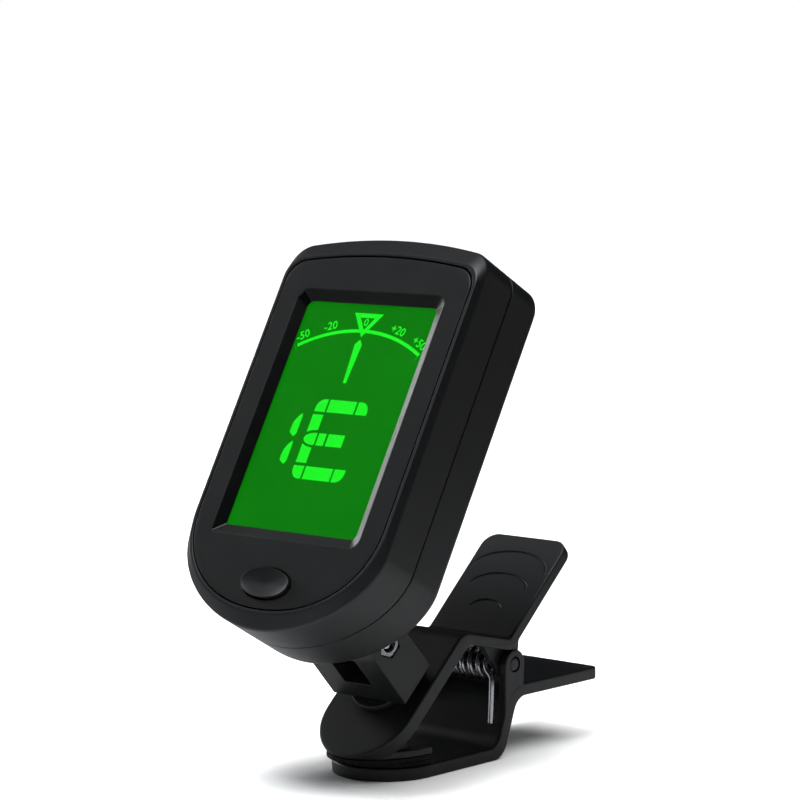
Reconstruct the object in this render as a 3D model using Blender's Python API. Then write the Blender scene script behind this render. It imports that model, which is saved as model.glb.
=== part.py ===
"""Clip-on instrument tuner: a tilting display head on a swivel neck, carried by a sprung clip.

Run with: blender --background --python part.py
Lengths below are in millimetres and are scaled to metres as each mesh is made. World frame: +Z up, +X to
the display's right, +Y behind the display. The origin lies on the clip's flat underside, which is what the
tuner rests on, below the middle of the gripping pads.

Frames, each an empty on its joint's axis:
  clip_axis    the pivot pin; the upper jaw turns about X here
  swivel_axis  on the upper jaw's ramp, local Z along the ramp's normal; the neck turns about it
  tilt_axis    the neck's hinge screw; the head turns about X here, local Z out of the display,
               local Y up the display
"""
import math

import bmesh
import bpy
from mathutils import Matrix, Vector

MM = 0.001                      # metres in one millimetre

# ---- Clip --------------------------------------------------------------------------------------------
CLIP_HALF_WIDTH = 7.0
PIN_Y, PIN_Z = 17.55, 12.1      # pivot pin's centre
PIN_RADIUS = 0.9
PIN_BORE = 1.05                 # radius of the bores that the pin runs through

FLOOR_THICKNESS = 1.7           # lower jaw under the pads
RISER_THICKNESS = 1.85
HANDLE_THICKNESS = 1.65
JAW_FRONT_RADIUS = 7.0          # plan radius of both jaws' round fronts
JAW_FRONT_Y = -6.9              # lower jaw's foremost point
RISER_FOOT_Y = 15.25            # where the riser's back face would meet the table
HANDLE_UNDERSIDE = 7.68
RISER_TOP_Y = 18.25             # where the riser's back face meets the handle's underside
HANDLE_END_Y = 35.6
HANDLE_CORNER = 1.3

EAR_INNER, EAR_RADIUS = 5.85, 1.95        # lower jaw's ears, outside the upper jaw's
GUSSET_INNER, GUSSET_OUTER = 4.8, 5.7     # upper jaw's ears, between the spring and the lower jaw's
GUSSET_RADIUS = 2.05

RAMP_ANGLE = 42.5               # degrees, upper jaw's ramp that carries the neck
RAMP_Y, RAMP_Z = -3.18, 8.27    # a point on the ramp's upper face
RAMP_THICKNESS = 2.1
NOSE_LENGTH = 7.42              # ramp's upper face ahead of that point
CREST_Y, CREST_Z = 7.12, 17.71  # where the ramp meets the short deck over the spring
DECK_THICKNESS = 1.45
VALLEY_Y, VALLEY_Z = 16.46, 15.6
TAB_ANGLE = 42.7
TAB_LENGTH = 16.85
TAB_THICKNESS = 1.6
TAB_CORNER = 2.2
FOOT_BOTTOM, FOOT_TOP = 3.05, 3.92        # flat foot under the ramp that holds the upper pad
FOOT_REAR_Y = 0.92

LOWER_PAD = (1.78, 2.34)        # heights of the rubber pads' lower and upper faces
UPPER_PAD = (2.42, 2.97)
UPPER_PAD_ROUND = 9.5           # length of the upper pad's half-elliptical front

WIRE_RADIUS = 0.38              # torsion spring
COIL_RADIUS = 1.9               # coil's mean radius
COIL_HANG = (-0.55, -0.25)      # coil's centre from the pin's, ahead of it and below, as it hangs on it
COIL_TURNS = 6
COIL_HALF_LENGTH = 4.1
SPRING_LEG_X = 5.25
SPRING_LEG_FOOT = 4.6

# ---- Swivel and neck ---------------------------------------------------------------------------------
SWIVEL_ALONG_RAMP = 4.3         # swivel axis from the ramp's reference point
BASE_RADIUS, BASE_HEIGHT = 4.5, 0.95
SWIVEL_HOLE = 1.25              # radius of the hole through ramp and base
SWIVEL_WASHER = (1.1, 2.4, 0.4) # inner radius, outer radius, thickness
SWIVEL_SHANK = 0.95
NECK_HALF_WIDTH = 6.2
NECK_HALF_DEPTH = 3.3
NECK_BOTTOM = 1.15
SLOT_HALF_WIDTH, SLOT_FLOOR = 2.3, 4.2
TILT_HEIGHT = 9.3               # hinge screw above the ramp
NUT_ACROSS_FLATS, NUT_THICKNESS = 3.2, 1.3
HINGE_SCREW_RADIUS = 0.8
HINGE_SCREW_HEAD = 1.6
HINGE_WASHER = (2.6, 0.35)      # outer radius, thickness

# ---- Head --------------------------------------------------------------------------------------------
HEAD_LEAN = 29.5                # degrees the display leans back from upright
WINDOW_ABOVE_HINGE = 22.67      # window centre from the hinge, up the display
WINDOW_AHEAD_OF_HINGE = 18.1    # face plate's surface from the hinge, out of the display
HEAD_HALF_WIDTH = 16.5
HEAD_TOP, HEAD_BOTTOM = 24.8, 28.6        # above and below the window's centre
HEAD_DEPTH = 12.45
BEVEL_DEPTH = 0.95
PARTING_DEPTH = 6.4
WALL = 1.3
HEAD_SHAPE = (17.1, 1.87, 1.75) # where the round bottom starts, its superellipse exponent, the top's arch
FACE_SHAPE = (14.0, 2.15, 1.35) # the same for the inlaid face plate
CORNER_SWEEP = 82               # degrees of each round top corner, up to where it meets the arch
FACE_HALF_WIDTH, FACE_TOP, FACE_BOTTOM = 15.25, 21.75, 25.9
FACE_THICKNESS = 0.8
GROOVE = 0.3                    # gap round the face plate
WINDOW_HALF_WIDTH, WINDOW_HALF_HEIGHT = 10.75, 15.55
WINDOW_SLOPE = 1.45             # how far the window's walls flare to the front
BUTTON_Y = -22.75
BUTTON_HALF_WIDTH, BUTTON_HALF_HEIGHT = 3.95, 1.95
BUTTON_FLANGE = 0.55            # rim under the face plate that keeps the button in
CELL_RADIUS, CELL_THICKNESS = 10.0, 3.2   # CR2032 coin cell
CELL_Y, CELL_FRONT = -6.3, -7.65
DOOR_HALF_WIDTH, DOOR_BOTTOM, DOOR_THICKNESS = 11.0, -18.0, 1.1
BACK_FLOOR = 2.1                # thickness of the back shell behind the board
LUG_HALF_WIDTH, LUG_RADIUS = 1.75, 2.9

GAP = 0.12                      # running gap between pieces that touch
ROUND = 32                      # sides of a round piece


# ---- Blender helpers -----------------------------------------------------------------------------------
def clear_scene():
    for obj in list(bpy.data.objects):
        bpy.data.objects.remove(obj, do_unlink=True)


def material(name, color, roughness, metallic=0.0):
    found = bpy.data.materials.get(name)
    if found:
        return found
    made = bpy.data.materials.new(name)
    made.use_nodes = True
    shader = made.node_tree.nodes["Principled BSDF"]
    shader.inputs["Base Color"].default_value = (*color, 1.0)
    shader.inputs["Roughness"].default_value = roughness
    shader.inputs["Metallic"].default_value = metallic
    made.diffuse_color = (*color, 1.0)
    return made


def empty(name, parent=None, location=(0, 0, 0), turn_x=0.0):
    frame = bpy.data.objects.new(name, None)
    bpy.context.scene.collection.objects.link(frame)
    frame.parent = parent
    frame.location = Vector(location) * MM
    frame.rotation_euler = (math.radians(turn_x), 0, 0)
    return frame


def to_mesh(bm, name):
    bmesh.ops.recalc_face_normals(bm, faces=bm.faces)
    mesh = bpy.data.meshes.new(name)
    bm.to_mesh(mesh)
    bm.free()
    return mesh


def add(name, bm, look, parent=None, location=(0, 0, 0), rotation=(0, 0, 0), smooth=True):
    """One sub-part: its mesh in millimetres about its own origin, placed under its parent frame."""
    bmesh.ops.scale(bm, vec=(MM, MM, MM), verts=bm.verts)
    obj = bpy.data.objects.new(name, to_mesh(bm, name))
    bpy.context.scene.collection.objects.link(obj)
    obj.data.materials.append(look)
    obj.parent = parent
    obj.location = Vector(location) * MM
    obj.rotation_euler = [math.radians(a) for a in rotation]
    if smooth:
        obj.data.shade_smooth()
        obj.data.set_sharp_from_angle(angle=math.radians(35))
    return obj


def boolean(target, cutter_mesh, operation):
    """Apply one exact Boolean; the cutter shares the target's own frame."""
    cutter = bpy.data.objects.new("cutter", cutter_mesh)
    bpy.context.scene.collection.objects.link(cutter)
    cutter.hide_render = True
    cutter.display_type = 'WIRE'
    cutter.parent = target
    modifier = target.modifiers.new("cut", 'BOOLEAN')
    modifier.operation = operation
    modifier.solver = 'EXACT'
    modifier.object = cutter
    bpy.context.view_layer.update()
    with bpy.context.temp_override(object=target, active_object=target, selected_objects=[target]):
        bpy.ops.object.modifier_apply(modifier=modifier.name)
    bpy.data.objects.remove(cutter, do_unlink=True)
    tidy = bmesh.new()
    tidy.from_mesh(target.data)
    bmesh.ops.dissolve_degenerate(tidy, dist=0.002 * MM, edges=tidy.edges)
    tidy.to_mesh(target.data)
    tidy.free()
    target.data.shade_smooth()
    target.data.set_sharp_from_angle(angle=math.radians(35))


def cut(target, bm):
    bmesh.ops.scale(bm, vec=(MM, MM, MM), verts=bm.verts)
    boolean(target, to_mesh(bm, "cutter"), 'DIFFERENCE')


def join(target, bm):
    bmesh.ops.scale(bm, vec=(MM, MM, MM), verts=bm.verts)
    boolean(target, to_mesh(bm, "cutter"), 'UNION')


def keep(target, bm):
    bmesh.ops.scale(bm, vec=(MM, MM, MM), verts=bm.verts)
    boolean(target, to_mesh(bm, "cutter"), 'INTERSECT')


# ---- Solids, all in millimetres --------------------------------------------------------------------------
def loft(rings, closed=False):
    """Skin equal rings of points; the ends are filled, or joined to each other when closed."""
    bm = bmesh.new()
    loops = [[bm.verts.new(p) for p in ring] for ring in rings]
    pairs = list(zip(loops, loops[1:] + loops[:1])) if closed else list(zip(loops, loops[1:]))
    for low, high in pairs:
        for i in range(len(low)):
            j = (i + 1) % len(low)
            bm.faces.new((low[i], low[j], high[j], high[i]))
    if not closed:
        bm.faces.new(loops[0])
        bm.faces.new(loops[-1])
    return bm


def prism(outline, low, high):
    """A flat outline in XY, drawn up from low to high along Z."""
    return loft([[(x, y, z) for x, y in outline] for z in (low, high)])


def side_prism(outline, low, high):
    """A flat outline in YZ, drawn along X."""
    return loft([[(x, y, z) for y, z in outline] for x in (low, high)])


def box(x, y, z):
    return prism([(x[0], y[0]), (x[1], y[0]), (x[1], y[1]), (x[0], y[1])], z[0], z[1])


def rounded_box(x, y, z, radius):
    """A plate with round corners in XY."""
    corners = [(x[1] - radius, y[1] - radius), (x[0] + radius, y[1] - radius),
               (x[0] + radius, y[0] + radius), (x[1] - radius, y[0] + radius)]
    outline = []
    for number, centre in enumerate(corners):
        outline += arc(centre, radius, 90 * number, 90 * number + 90, 4)
    return prism(outline, z[0], z[1])


def arc(centre, radius, start, end, steps):
    """Points on a circle's arc, its ends included; angles in degrees."""
    return [(centre[0] + radius * math.cos(math.radians(start + (end - start) * i / steps)),
             centre[1] + radius * math.sin(math.radians(start + (end - start) * i / steps)))
            for i in range(steps + 1)]


def ellipse(half_width, half_height, centre=(0, 0), sides=ROUND):
    return [(centre[0] + half_width * math.cos(2 * math.pi * i / sides),
             centre[1] + half_height * math.sin(2 * math.pi * i / sides)) for i in range(sides)]


def hexagon(across_flats, centre=(0, 0)):
    radius = across_flats / math.sqrt(3)
    return ellipse(radius, radius, centre, 6)


def turned(profile, sides=ROUND):
    """A round piece about Z from (radius, height) pairs running up its outside."""
    return loft([[(r * math.cos(2 * math.pi * i / sides), r * math.sin(2 * math.pi * i / sides), z)
                  for i in range(sides)] for r, z in profile])


def ring(inner, outer, low, high, sides=ROUND):
    """A washer or tube about Z."""
    circles = [(inner, low), (outer, low), (outer, high), (inner, high)]
    return loft([[(r * math.cos(2 * math.pi * i / sides), r * math.sin(2 * math.pi * i / sides), z)
                  for i in range(sides)] for r, z in circles], closed=True)


def along_x(bm):
    """Turn a piece made about Z so that it lies about X, its top towards +X."""
    bmesh.ops.rotate(bm, verts=bm.verts, matrix=Matrix.Rotation(math.radians(90), 3, 'Y'))
    return bm


def moved(bm, x=0.0, y=0.0, z=0.0):
    bmesh.ops.translate(bm, verts=bm.verts, vec=(x, y, z))
    return bm


def line_crossing(p, d, q, e):
    """Where the line through p along d meets the line through q along e."""
    t = ((q[0] - p[0]) * e[1] - (q[1] - p[1]) * e[0]) / (d[0] * e[1] - d[1] * e[0])
    return (p[0] + t * d[0], p[1] + t * d[1])


def offset_path(points, thicknesses, side):
    """The other face of a bent strip: each straight moved sideways by its own thickness."""
    moved_lines = []
    for (a, b), thickness in zip(zip(points, points[1:]), thicknesses):
        length = math.dist(a, b)
        d = ((b[0] - a[0]) / length, (b[1] - a[1]) / length)
        n = (-d[1] * side * thickness, d[0] * side * thickness)
        moved_lines.append(((a[0] + n[0], a[1] + n[1]), (b[0] + n[0], b[1] + n[1]), d))
    corners = [line_crossing(first[0], first[2], second[0], second[2])
               for first, second in zip(moved_lines, moved_lines[1:])]
    return [moved_lines[0][0]] + corners + [moved_lines[-1][1]]


def rounded_path(points, radii, steps=5):
    """A path with an arc of the given radius at each inner corner."""
    out = [points[0]]
    for before, corner, after, radius in zip(points, points[1:], points[2:], radii):
        if radius <= 0:
            out.append(corner)
            continue
        a = Vector(before) - Vector(corner)
        b = Vector(after) - Vector(corner)
        half = a.angle(b) / 2
        reach = radius / math.tan(half)
        centre = Vector(corner) + (a.normalized() + b.normalized()).normalized() * radius / math.sin(half)
        start = Vector(corner) + a.normalized() * reach - centre
        sweep = (Vector(corner) + b.normalized() * reach - centre).angle_signed(start)
        for i in range(steps + 1):
            turn = sweep * i / steps
            out.append((centre.x + start.x * math.cos(turn) - start.y * math.sin(turn),
                        centre.y + start.x * math.sin(turn) + start.y * math.cos(turn)))
    return out + [points[-1]]


def tube(path, radius, sides=8):
    """A wire along a path of points, as a bevelled curve turned into a mesh."""
    curve = bpy.data.curves.new("wire", 'CURVE')
    curve.dimensions = '3D'
    curve.bevel_depth = radius * MM
    curve.bevel_resolution = sides // 4
    curve.use_fill_caps = True
    spline = curve.splines.new('POLY')
    spline.points.add(len(path) - 1)
    for point, place in zip(spline.points, path):
        point.co = (*(Vector(place) * MM), 1.0)
    holder = bpy.data.objects.new("wire", curve)
    bpy.context.scene.collection.objects.link(holder)
    bpy.context.view_layer.update()
    bm = bmesh.new()
    bm.from_mesh(holder.evaluated_get(bpy.context.evaluated_depsgraph_get()).to_mesh())
    bmesh.ops.remove_doubles(bm, verts=bm.verts, dist=0.001 * MM)
    bmesh.ops.scale(bm, vec=(1 / MM, 1 / MM, 1 / MM), verts=bm.verts)
    bpy.data.objects.remove(holder, do_unlink=True)
    bpy.data.curves.remove(curve)
    return bm


# ---- Looks -----------------------------------------------------------------------------------------------
BLACK_SHELL = material("black_shell", (0.020, 0.021, 0.022), 0.42)
BLACK_FACE = material("black_face", (0.026, 0.026, 0.027), 0.36)
BLACK_CLIP = material("black_clip", (0.024, 0.026, 0.028), 0.48)
RUBBER = material("black_rubber", (0.012, 0.012, 0.013), 0.85)
STEEL = material("bright_steel", (0.62, 0.62, 0.64), 0.22, 1.0)
BRASS = material("brass", (0.72, 0.52, 0.20), 0.35, 1.0)
LENS = material("clear_lens", (0.75, 0.85, 0.78), 0.08)
LCD_GREEN = material("lcd_green", (0.01, 0.22, 0.01), 0.18)
DIFFUSER = material("diffuser", (0.35, 0.85, 0.35), 0.40)
BOARD_GREEN = material("board_green", (0.02, 0.16, 0.06), 0.45)
CHIP_BLACK = material("chip_black", (0.02, 0.02, 0.02), 0.50)
ZEBRA = material("zebra_rubber", (0.45, 0.42, 0.40), 0.70)
LED_WHITE = material("led_white", (0.80, 0.85, 0.72), 0.30)
CERAMIC = material("ceramic", (0.55, 0.38, 0.22), 0.50)


# ---- Clip ------------------------------------------------------------------------------------------------
def pin_frame(outline):
    """World (y, z) points about the pivot pin."""
    return [(y - PIN_Y, z - PIN_Z) for y, z in outline]


def jaw_plan(front, rear, corner):
    """A jaw seen from above: a round front, straight sides and small rear corners."""
    middle = front + JAW_FRONT_RADIUS
    inner = CLIP_HALF_WIDTH - corner
    return (arc((0, middle), JAW_FRONT_RADIUS, 180, 360, 20)
            + arc((inner, rear - corner), corner, 0, 90, 5)
            + arc((-inner, rear - corner), corner, 90, 180, 5))


def build_lower_jaw():
    """A floor, a riser and a handle in one bent strip, with an ear on each side for the pin."""
    under = [(JAW_FRONT_Y - 1, 0), (RISER_FOOT_Y, 0), (RISER_TOP_Y, HANDLE_UNDERSIDE),
             (HANDLE_END_Y + 1, HANDLE_UNDERSIDE)]
    top = offset_path(under, (FLOOR_THICKNESS, RISER_THICKNESS, HANDLE_THICKNESS), 1)
    strip = rounded_path(under, (2.6, 2.4)) + rounded_path(top, (1.0, 3.2))[::-1]
    jaw = add("lower_jaw", side_prism(strip, -CLIP_HALF_WIDTH - 1, CLIP_HALF_WIDTH + 1), BLACK_CLIP)
    keep(jaw, prism(jaw_plan(JAW_FRONT_Y, HANDLE_END_Y, HANDLE_CORNER), -2, 20))
    ear = arc((PIN_Y, PIN_Z), EAR_RADIUS, 0, 180, 12) + [
        (PIN_Y - EAR_RADIUS, 4.6), (PIN_Y, 6.6), (PIN_Y + EAR_RADIUS, 8.3)]
    for low, high in ((EAR_INNER, CLIP_HALF_WIDTH), (-CLIP_HALF_WIDTH, -EAR_INNER)):
        join(jaw, side_prism(ear, low, high))
    bore = along_x(turned([(PIN_BORE, -10), (PIN_BORE, 10)], 20))
    cut(jaw, moved(bore, 0, PIN_Y, PIN_Z))
    return jaw


def build_upper_jaw(clip_axis):
    """A ramp for the neck, a short deck over the spring, a thumb tab, and a flat foot for the pad."""
    slope = math.radians(RAMP_ANGLE)
    ahead = NOSE_LENGTH + 2
    nose = (RAMP_Y - ahead * math.cos(slope), RAMP_Z - ahead * math.sin(slope))
    tab_end = (VALLEY_Y + (TAB_LENGTH + 1) * math.cos(math.radians(TAB_ANGLE)),
               VALLEY_Z + (TAB_LENGTH + 1) * math.sin(math.radians(TAB_ANGLE)))
    top = [nose, (CREST_Y, CREST_Z), (VALLEY_Y, VALLEY_Z), tab_end]
    under = offset_path(top, (RAMP_THICKNESS, DECK_THICKNESS, TAB_THICKNESS), -1)
    along = (math.cos(slope), math.sin(slope))
    foot_joint = line_crossing(under[0], along, (0, FOOT_TOP), (1, 0))
    tip = line_crossing(top[0], along, (0, FOOT_BOTTOM), (1, 0))
    lower = rounded_path([foot_joint] + under[1:], (1.6, 1.6))[::-1]
    upper = rounded_path([tip] + top[1:], (2.6, 0.8))
    strip = upper + lower + [(FOOT_REAR_Y, FOOT_TOP), (FOOT_REAR_Y, FOOT_BOTTOM)]
    jaw = add("upper_jaw", side_prism(pin_frame(strip), -CLIP_HALF_WIDTH - 1, CLIP_HALF_WIDTH + 1),
              BLACK_CLIP, clip_axis)

    outline = jaw_plan(-NOSE_LENGTH, ramp_distance(tab_end) - 1, TAB_CORNER)
    plan = prism(outline, -30, 30)
    bmesh.ops.rotate(plan, verts=plan.verts, matrix=Matrix.Rotation(slope, 3, 'X'))
    keep(jaw, moved(plan, 0, RAMP_Y - PIN_Y, RAMP_Z - PIN_Z))

    gusset = arc((0, 0), GUSSET_RADIUS, 205, 345, 12) + pin_frame([
        (PIN_Y + 2.6, PIN_Z + 4.9), (VALLEY_Y, VALLEY_Z - 0.5), (11.6, 16.1)])
    for low, high in ((GUSSET_INNER, GUSSET_OUTER), (-GUSSET_OUTER, -GUSSET_INNER)):
        join(jaw, side_prism(gusset, low, high))
    cut(jaw, along_x(turned([(PIN_BORE, -10), (PIN_BORE, 10)], 20)))
    screw_hole = turned([(SWIVEL_HOLE, -6), (SWIVEL_HOLE, 3)], 20)
    bmesh.ops.rotate(screw_hole, verts=screw_hole.verts, matrix=Matrix.Rotation(slope, 3, 'X'))
    centre = on_ramp(SWIVEL_ALONG_RAMP, 0)
    cut(jaw, moved(screw_hole, 0, centre[0] - PIN_Y, centre[1] - PIN_Z))
    return jaw


def on_ramp(along, above):
    """World (y, z) of a point on or over the ramp's upper face."""
    slope = math.radians(RAMP_ANGLE)
    return (RAMP_Y + along * math.cos(slope) - above * math.sin(slope),
            RAMP_Z + along * math.sin(slope) + above * math.cos(slope))


def ramp_distance(point):
    """How far up the ramp's direction a world (y, z) point lies."""
    slope = math.radians(RAMP_ANGLE)
    return (point[0] - RAMP_Y) * math.cos(slope) + (point[1] - RAMP_Z) * math.sin(slope)


def build_pads(clip_axis):
    lower = arc((0, JAW_FRONT_Y + JAW_FRONT_RADIUS), CLIP_HALF_WIDTH - 0.2, 180, 360, 20) + [
        (CLIP_HALF_WIDTH - 0.2, FOOT_REAR_Y), (-CLIP_HALF_WIDTH + 0.2, FOOT_REAR_Y)]
    add("lower_pad", prism(lower, *LOWER_PAD), RUBBER)
    upper = [(x, FOOT_REAR_Y + y)
             for x, y in ellipse(CLIP_HALF_WIDTH, UPPER_PAD_ROUND, (0, 0), 48) if y < 0.01]
    add("upper_pad", prism([(x, y - PIN_Y) for x, y in upper], UPPER_PAD[0] - PIN_Z, UPPER_PAD[1] - PIN_Z),
        RUBBER, clip_axis)


def build_pin_and_spring(clip_axis):
    half = CLIP_HALF_WIDTH - 0.1
    add("pivot_pin", turned([(PIN_RADIUS, -half), (PIN_RADIUS, half)], 20), STEEL, None,
        (0, PIN_Y, PIN_Z), (0, 90, 0))
    hang_y, hang_z = COIL_HANG
    steps = COIL_TURNS * 16
    coil = []
    for i in range(steps + 1):
        turn = math.pi - 2 * math.pi * COIL_TURNS * i / steps
        x = COIL_HALF_LENGTH - 2 * COIL_HALF_LENGTH * i / steps
        coil.append((x, hang_y + COIL_RADIUS * math.cos(turn), hang_z + COIL_RADIUS * math.sin(turn)))
    front = hang_y - COIL_RADIUS
    leg = [(SPRING_LEG_X, front - 0.5, SPRING_LEG_FOOT - PIN_Z), (SPRING_LEG_X, front - 0.25, -2.9),
           (SPRING_LEG_X - 0.15, front - 0.2, -2.3), (COIL_HALF_LENGTH + 0.4, front - 0.1, -1.7),
           (COIL_HALF_LENGTH + 0.05, front, hang_z - 0.8)]
    add("torsion_spring", tube(leg + coil, WIRE_RADIUS), STEEL, None, (0, PIN_Y, PIN_Z))

    top_leg = [(-COIL_HALF_LENGTH, -4.0, 1.3), (-COIL_HALF_LENGTH, -6.4, 2.3), (-COIL_HALF_LENGTH, -7.6, 2.6)]
    add("torsion_spring_upper_leg", tube(top_leg, WIRE_RADIUS), STEEL, clip_axis)


# ---- Swivel and neck ---------------------------------------------------------------------------------------
def build_neck(clip_axis, swivel_axis):
    """A fork that swivels on a round base, with a screw and nut as the head's hinge."""
    base = add("swivel_base", turned([(BASE_RADIUS, GAP), (BASE_RADIUS, BASE_HEIGHT - 0.3),
                                      (BASE_RADIUS - 0.3, BASE_HEIGHT)], 40), BLACK_CLIP)
    base.parent = clip_axis
    base.location = swivel_axis.location
    base.rotation_euler = swivel_axis.rotation_euler
    cut(base, turned([(SWIVEL_HOLE, -1), (SWIVEL_HOLE, 3)], 20))

    depth = NECK_HALF_DEPTH
    side = [(-depth, NECK_BOTTOM), (depth, NECK_BOTTOM)] + arc((0, TILT_HEIGHT), depth, 0, 180, 16)
    fork = add("neck_fork", side_prism(side, -NECK_HALF_WIDTH, NECK_HALF_WIDTH), BLACK_CLIP, swivel_axis)
    cut(fork, box((-SLOT_HALF_WIDTH, SLOT_HALF_WIDTH), (-depth - 1, depth + 1), (SLOT_FLOOR, 20)))
    cut(fork, moved(along_x(turned([(HINGE_SCREW_RADIUS + GAP, -9), (HINGE_SCREW_RADIUS + GAP, 9)], 20)),
                    z=TILT_HEIGHT))
    pocket = hexagon(NUT_ACROSS_FLATS + 2 * GAP, (0, TILT_HEIGHT))
    cut(fork, side_prism(pocket, NECK_HALF_WIDTH - NUT_THICKNESS - 0.3, NECK_HALF_WIDTH + 1))
    seat = HINGE_SCREW_HEAD + 0.15
    head_seat = turned([(seat, -NECK_HALF_WIDTH - 1), (seat, -NECK_HALF_WIDTH + 1.3)], 24)
    cut(fork, moved(along_x(head_seat), z=TILT_HEIGHT))
    cut(fork, turned([(SWIVEL_SHANK + 0.15, 0), (SWIVEL_SHANK + 0.15, 3.5)], 20))

    nut = side_prism(hexagon(NUT_ACROSS_FLATS), 0, NUT_THICKNESS)
    nut = add("tilt_nut", nut, STEEL, swivel_axis,
              (NECK_HALF_WIDTH - NUT_THICKNESS - 0.12, 0, TILT_HEIGHT))
    cut(nut, along_x(turned([(1.0, -1), (1.0, 3)], 20)))

    head_x = -NECK_HALF_WIDTH + 1.2
    screw = turned([(HINGE_SCREW_HEAD, -NECK_HALF_WIDTH + 0.15), (HINGE_SCREW_HEAD, head_x),
                    (HINGE_SCREW_RADIUS, head_x + 0.01), (HINGE_SCREW_RADIUS, NECK_HALF_WIDTH - 0.5)], 20)
    screw = add("tilt_screw", along_x(screw), STEEL, swivel_axis, (0, 0, TILT_HEIGHT))
    for x, y in ((0.18, 1.0), (1.0, 0.18)):
        cut(screw, box((-NECK_HALF_WIDTH - 1, -NECK_HALF_WIDTH + 0.7), (-y, y), (-x, x)))

    rim, thickness = HINGE_WASHER
    for name, x in (("hinge_washer_left", -SLOT_HALF_WIDTH + 0.1), ("hinge_washer_right", LUG_HALF_WIDTH + 0.1)):
        washer = along_x(ring(HINGE_SCREW_RADIUS + GAP, rim, 0, thickness, 24))
        add(name, washer, STEEL, swivel_axis, (x, 0, TILT_HEIGHT))

    under = -RAMP_THICKNESS - 0.1
    hole, rim, thickness = SWIVEL_WASHER
    add("swivel_washer", ring(hole, rim, under - thickness, under, 24), STEEL, swivel_axis)
    top = under - thickness - 0.1
    swivel = turned([(1.2, top - 1.2), (1.9, top - 0.9), (1.9, top), (SWIVEL_SHANK, top + 0.01),
                     (SWIVEL_SHANK, 3.3)], 24)
    swivel = add("swivel_screw", swivel, STEEL, swivel_axis)
    for x, y in ((0.2, 1.1), (1.1, 0.2)):
        cut(swivel, box((-x, x), (-y, y), (top - 2, top - 0.6)))


# ---- Head --------------------------------------------------------------------------------------------------
def head_outline(half_width, top, bottom, corner, depth, shape):
    """The head's outline at one depth: arched top, straight sides, superellipse bottom."""
    round_start, power, arch = shape
    points = []
    for i in range(25):                                     # round bottom, left to right
        turn = math.pi + math.pi * i / 24
        c, s = math.cos(turn), math.sin(turn)
        x = half_width * math.copysign(abs(c) ** (2 / power), c)
        y = -round_start - (bottom - round_start) * abs(s) ** (2 / power)
        points.append((x, y, -depth))
    steepest = math.radians(CORNER_SWEEP)
    arch_end = half_width - corner + corner * math.cos(steepest)
    side_top = top - arch * (arch_end / half_width) ** 2 - corner * math.sin(steepest)
    corner_arc = arc((half_width - corner, side_top), corner, 0, CORNER_SWEEP, 6)
    points += [(x, y, -depth) for x, y in corner_arc]
    for i in range(1, 10):                                  # arched top, right to left
        x = arch_end * (1 - i / 5)
        points.append((x, top - arch * (x / half_width) ** 2, -depth))
    points += [(-x, y, -depth) for x, y in corner_arc[::-1]]
    return points


def outer_outline(inset, depth, corner=3.5):
    return head_outline(HEAD_HALF_WIDTH - inset, HEAD_TOP - inset, HEAD_BOTTOM - inset, corner, depth, HEAD_SHAPE)


def face_outline(grow, depth, corner=3.0):
    return head_outline(FACE_HALF_WIDTH + grow, FACE_TOP + grow, FACE_BOTTOM + grow, corner, depth, FACE_SHAPE)


SCREW_SPOTS = ((-13.0, 18.3), (13.0, 18.3), (-11.2, -19.6), (11.2, -19.6))
BOSS_RADIUS = 1.7
SCREW_BORE = 0.75
BOARD_NOTCH = 3.3               # radius the circuit board leaves round each screw
TAPER_AT_LOWER_SCREWS = 0.9     # how far the round bottom has drawn the sides in there


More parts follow.
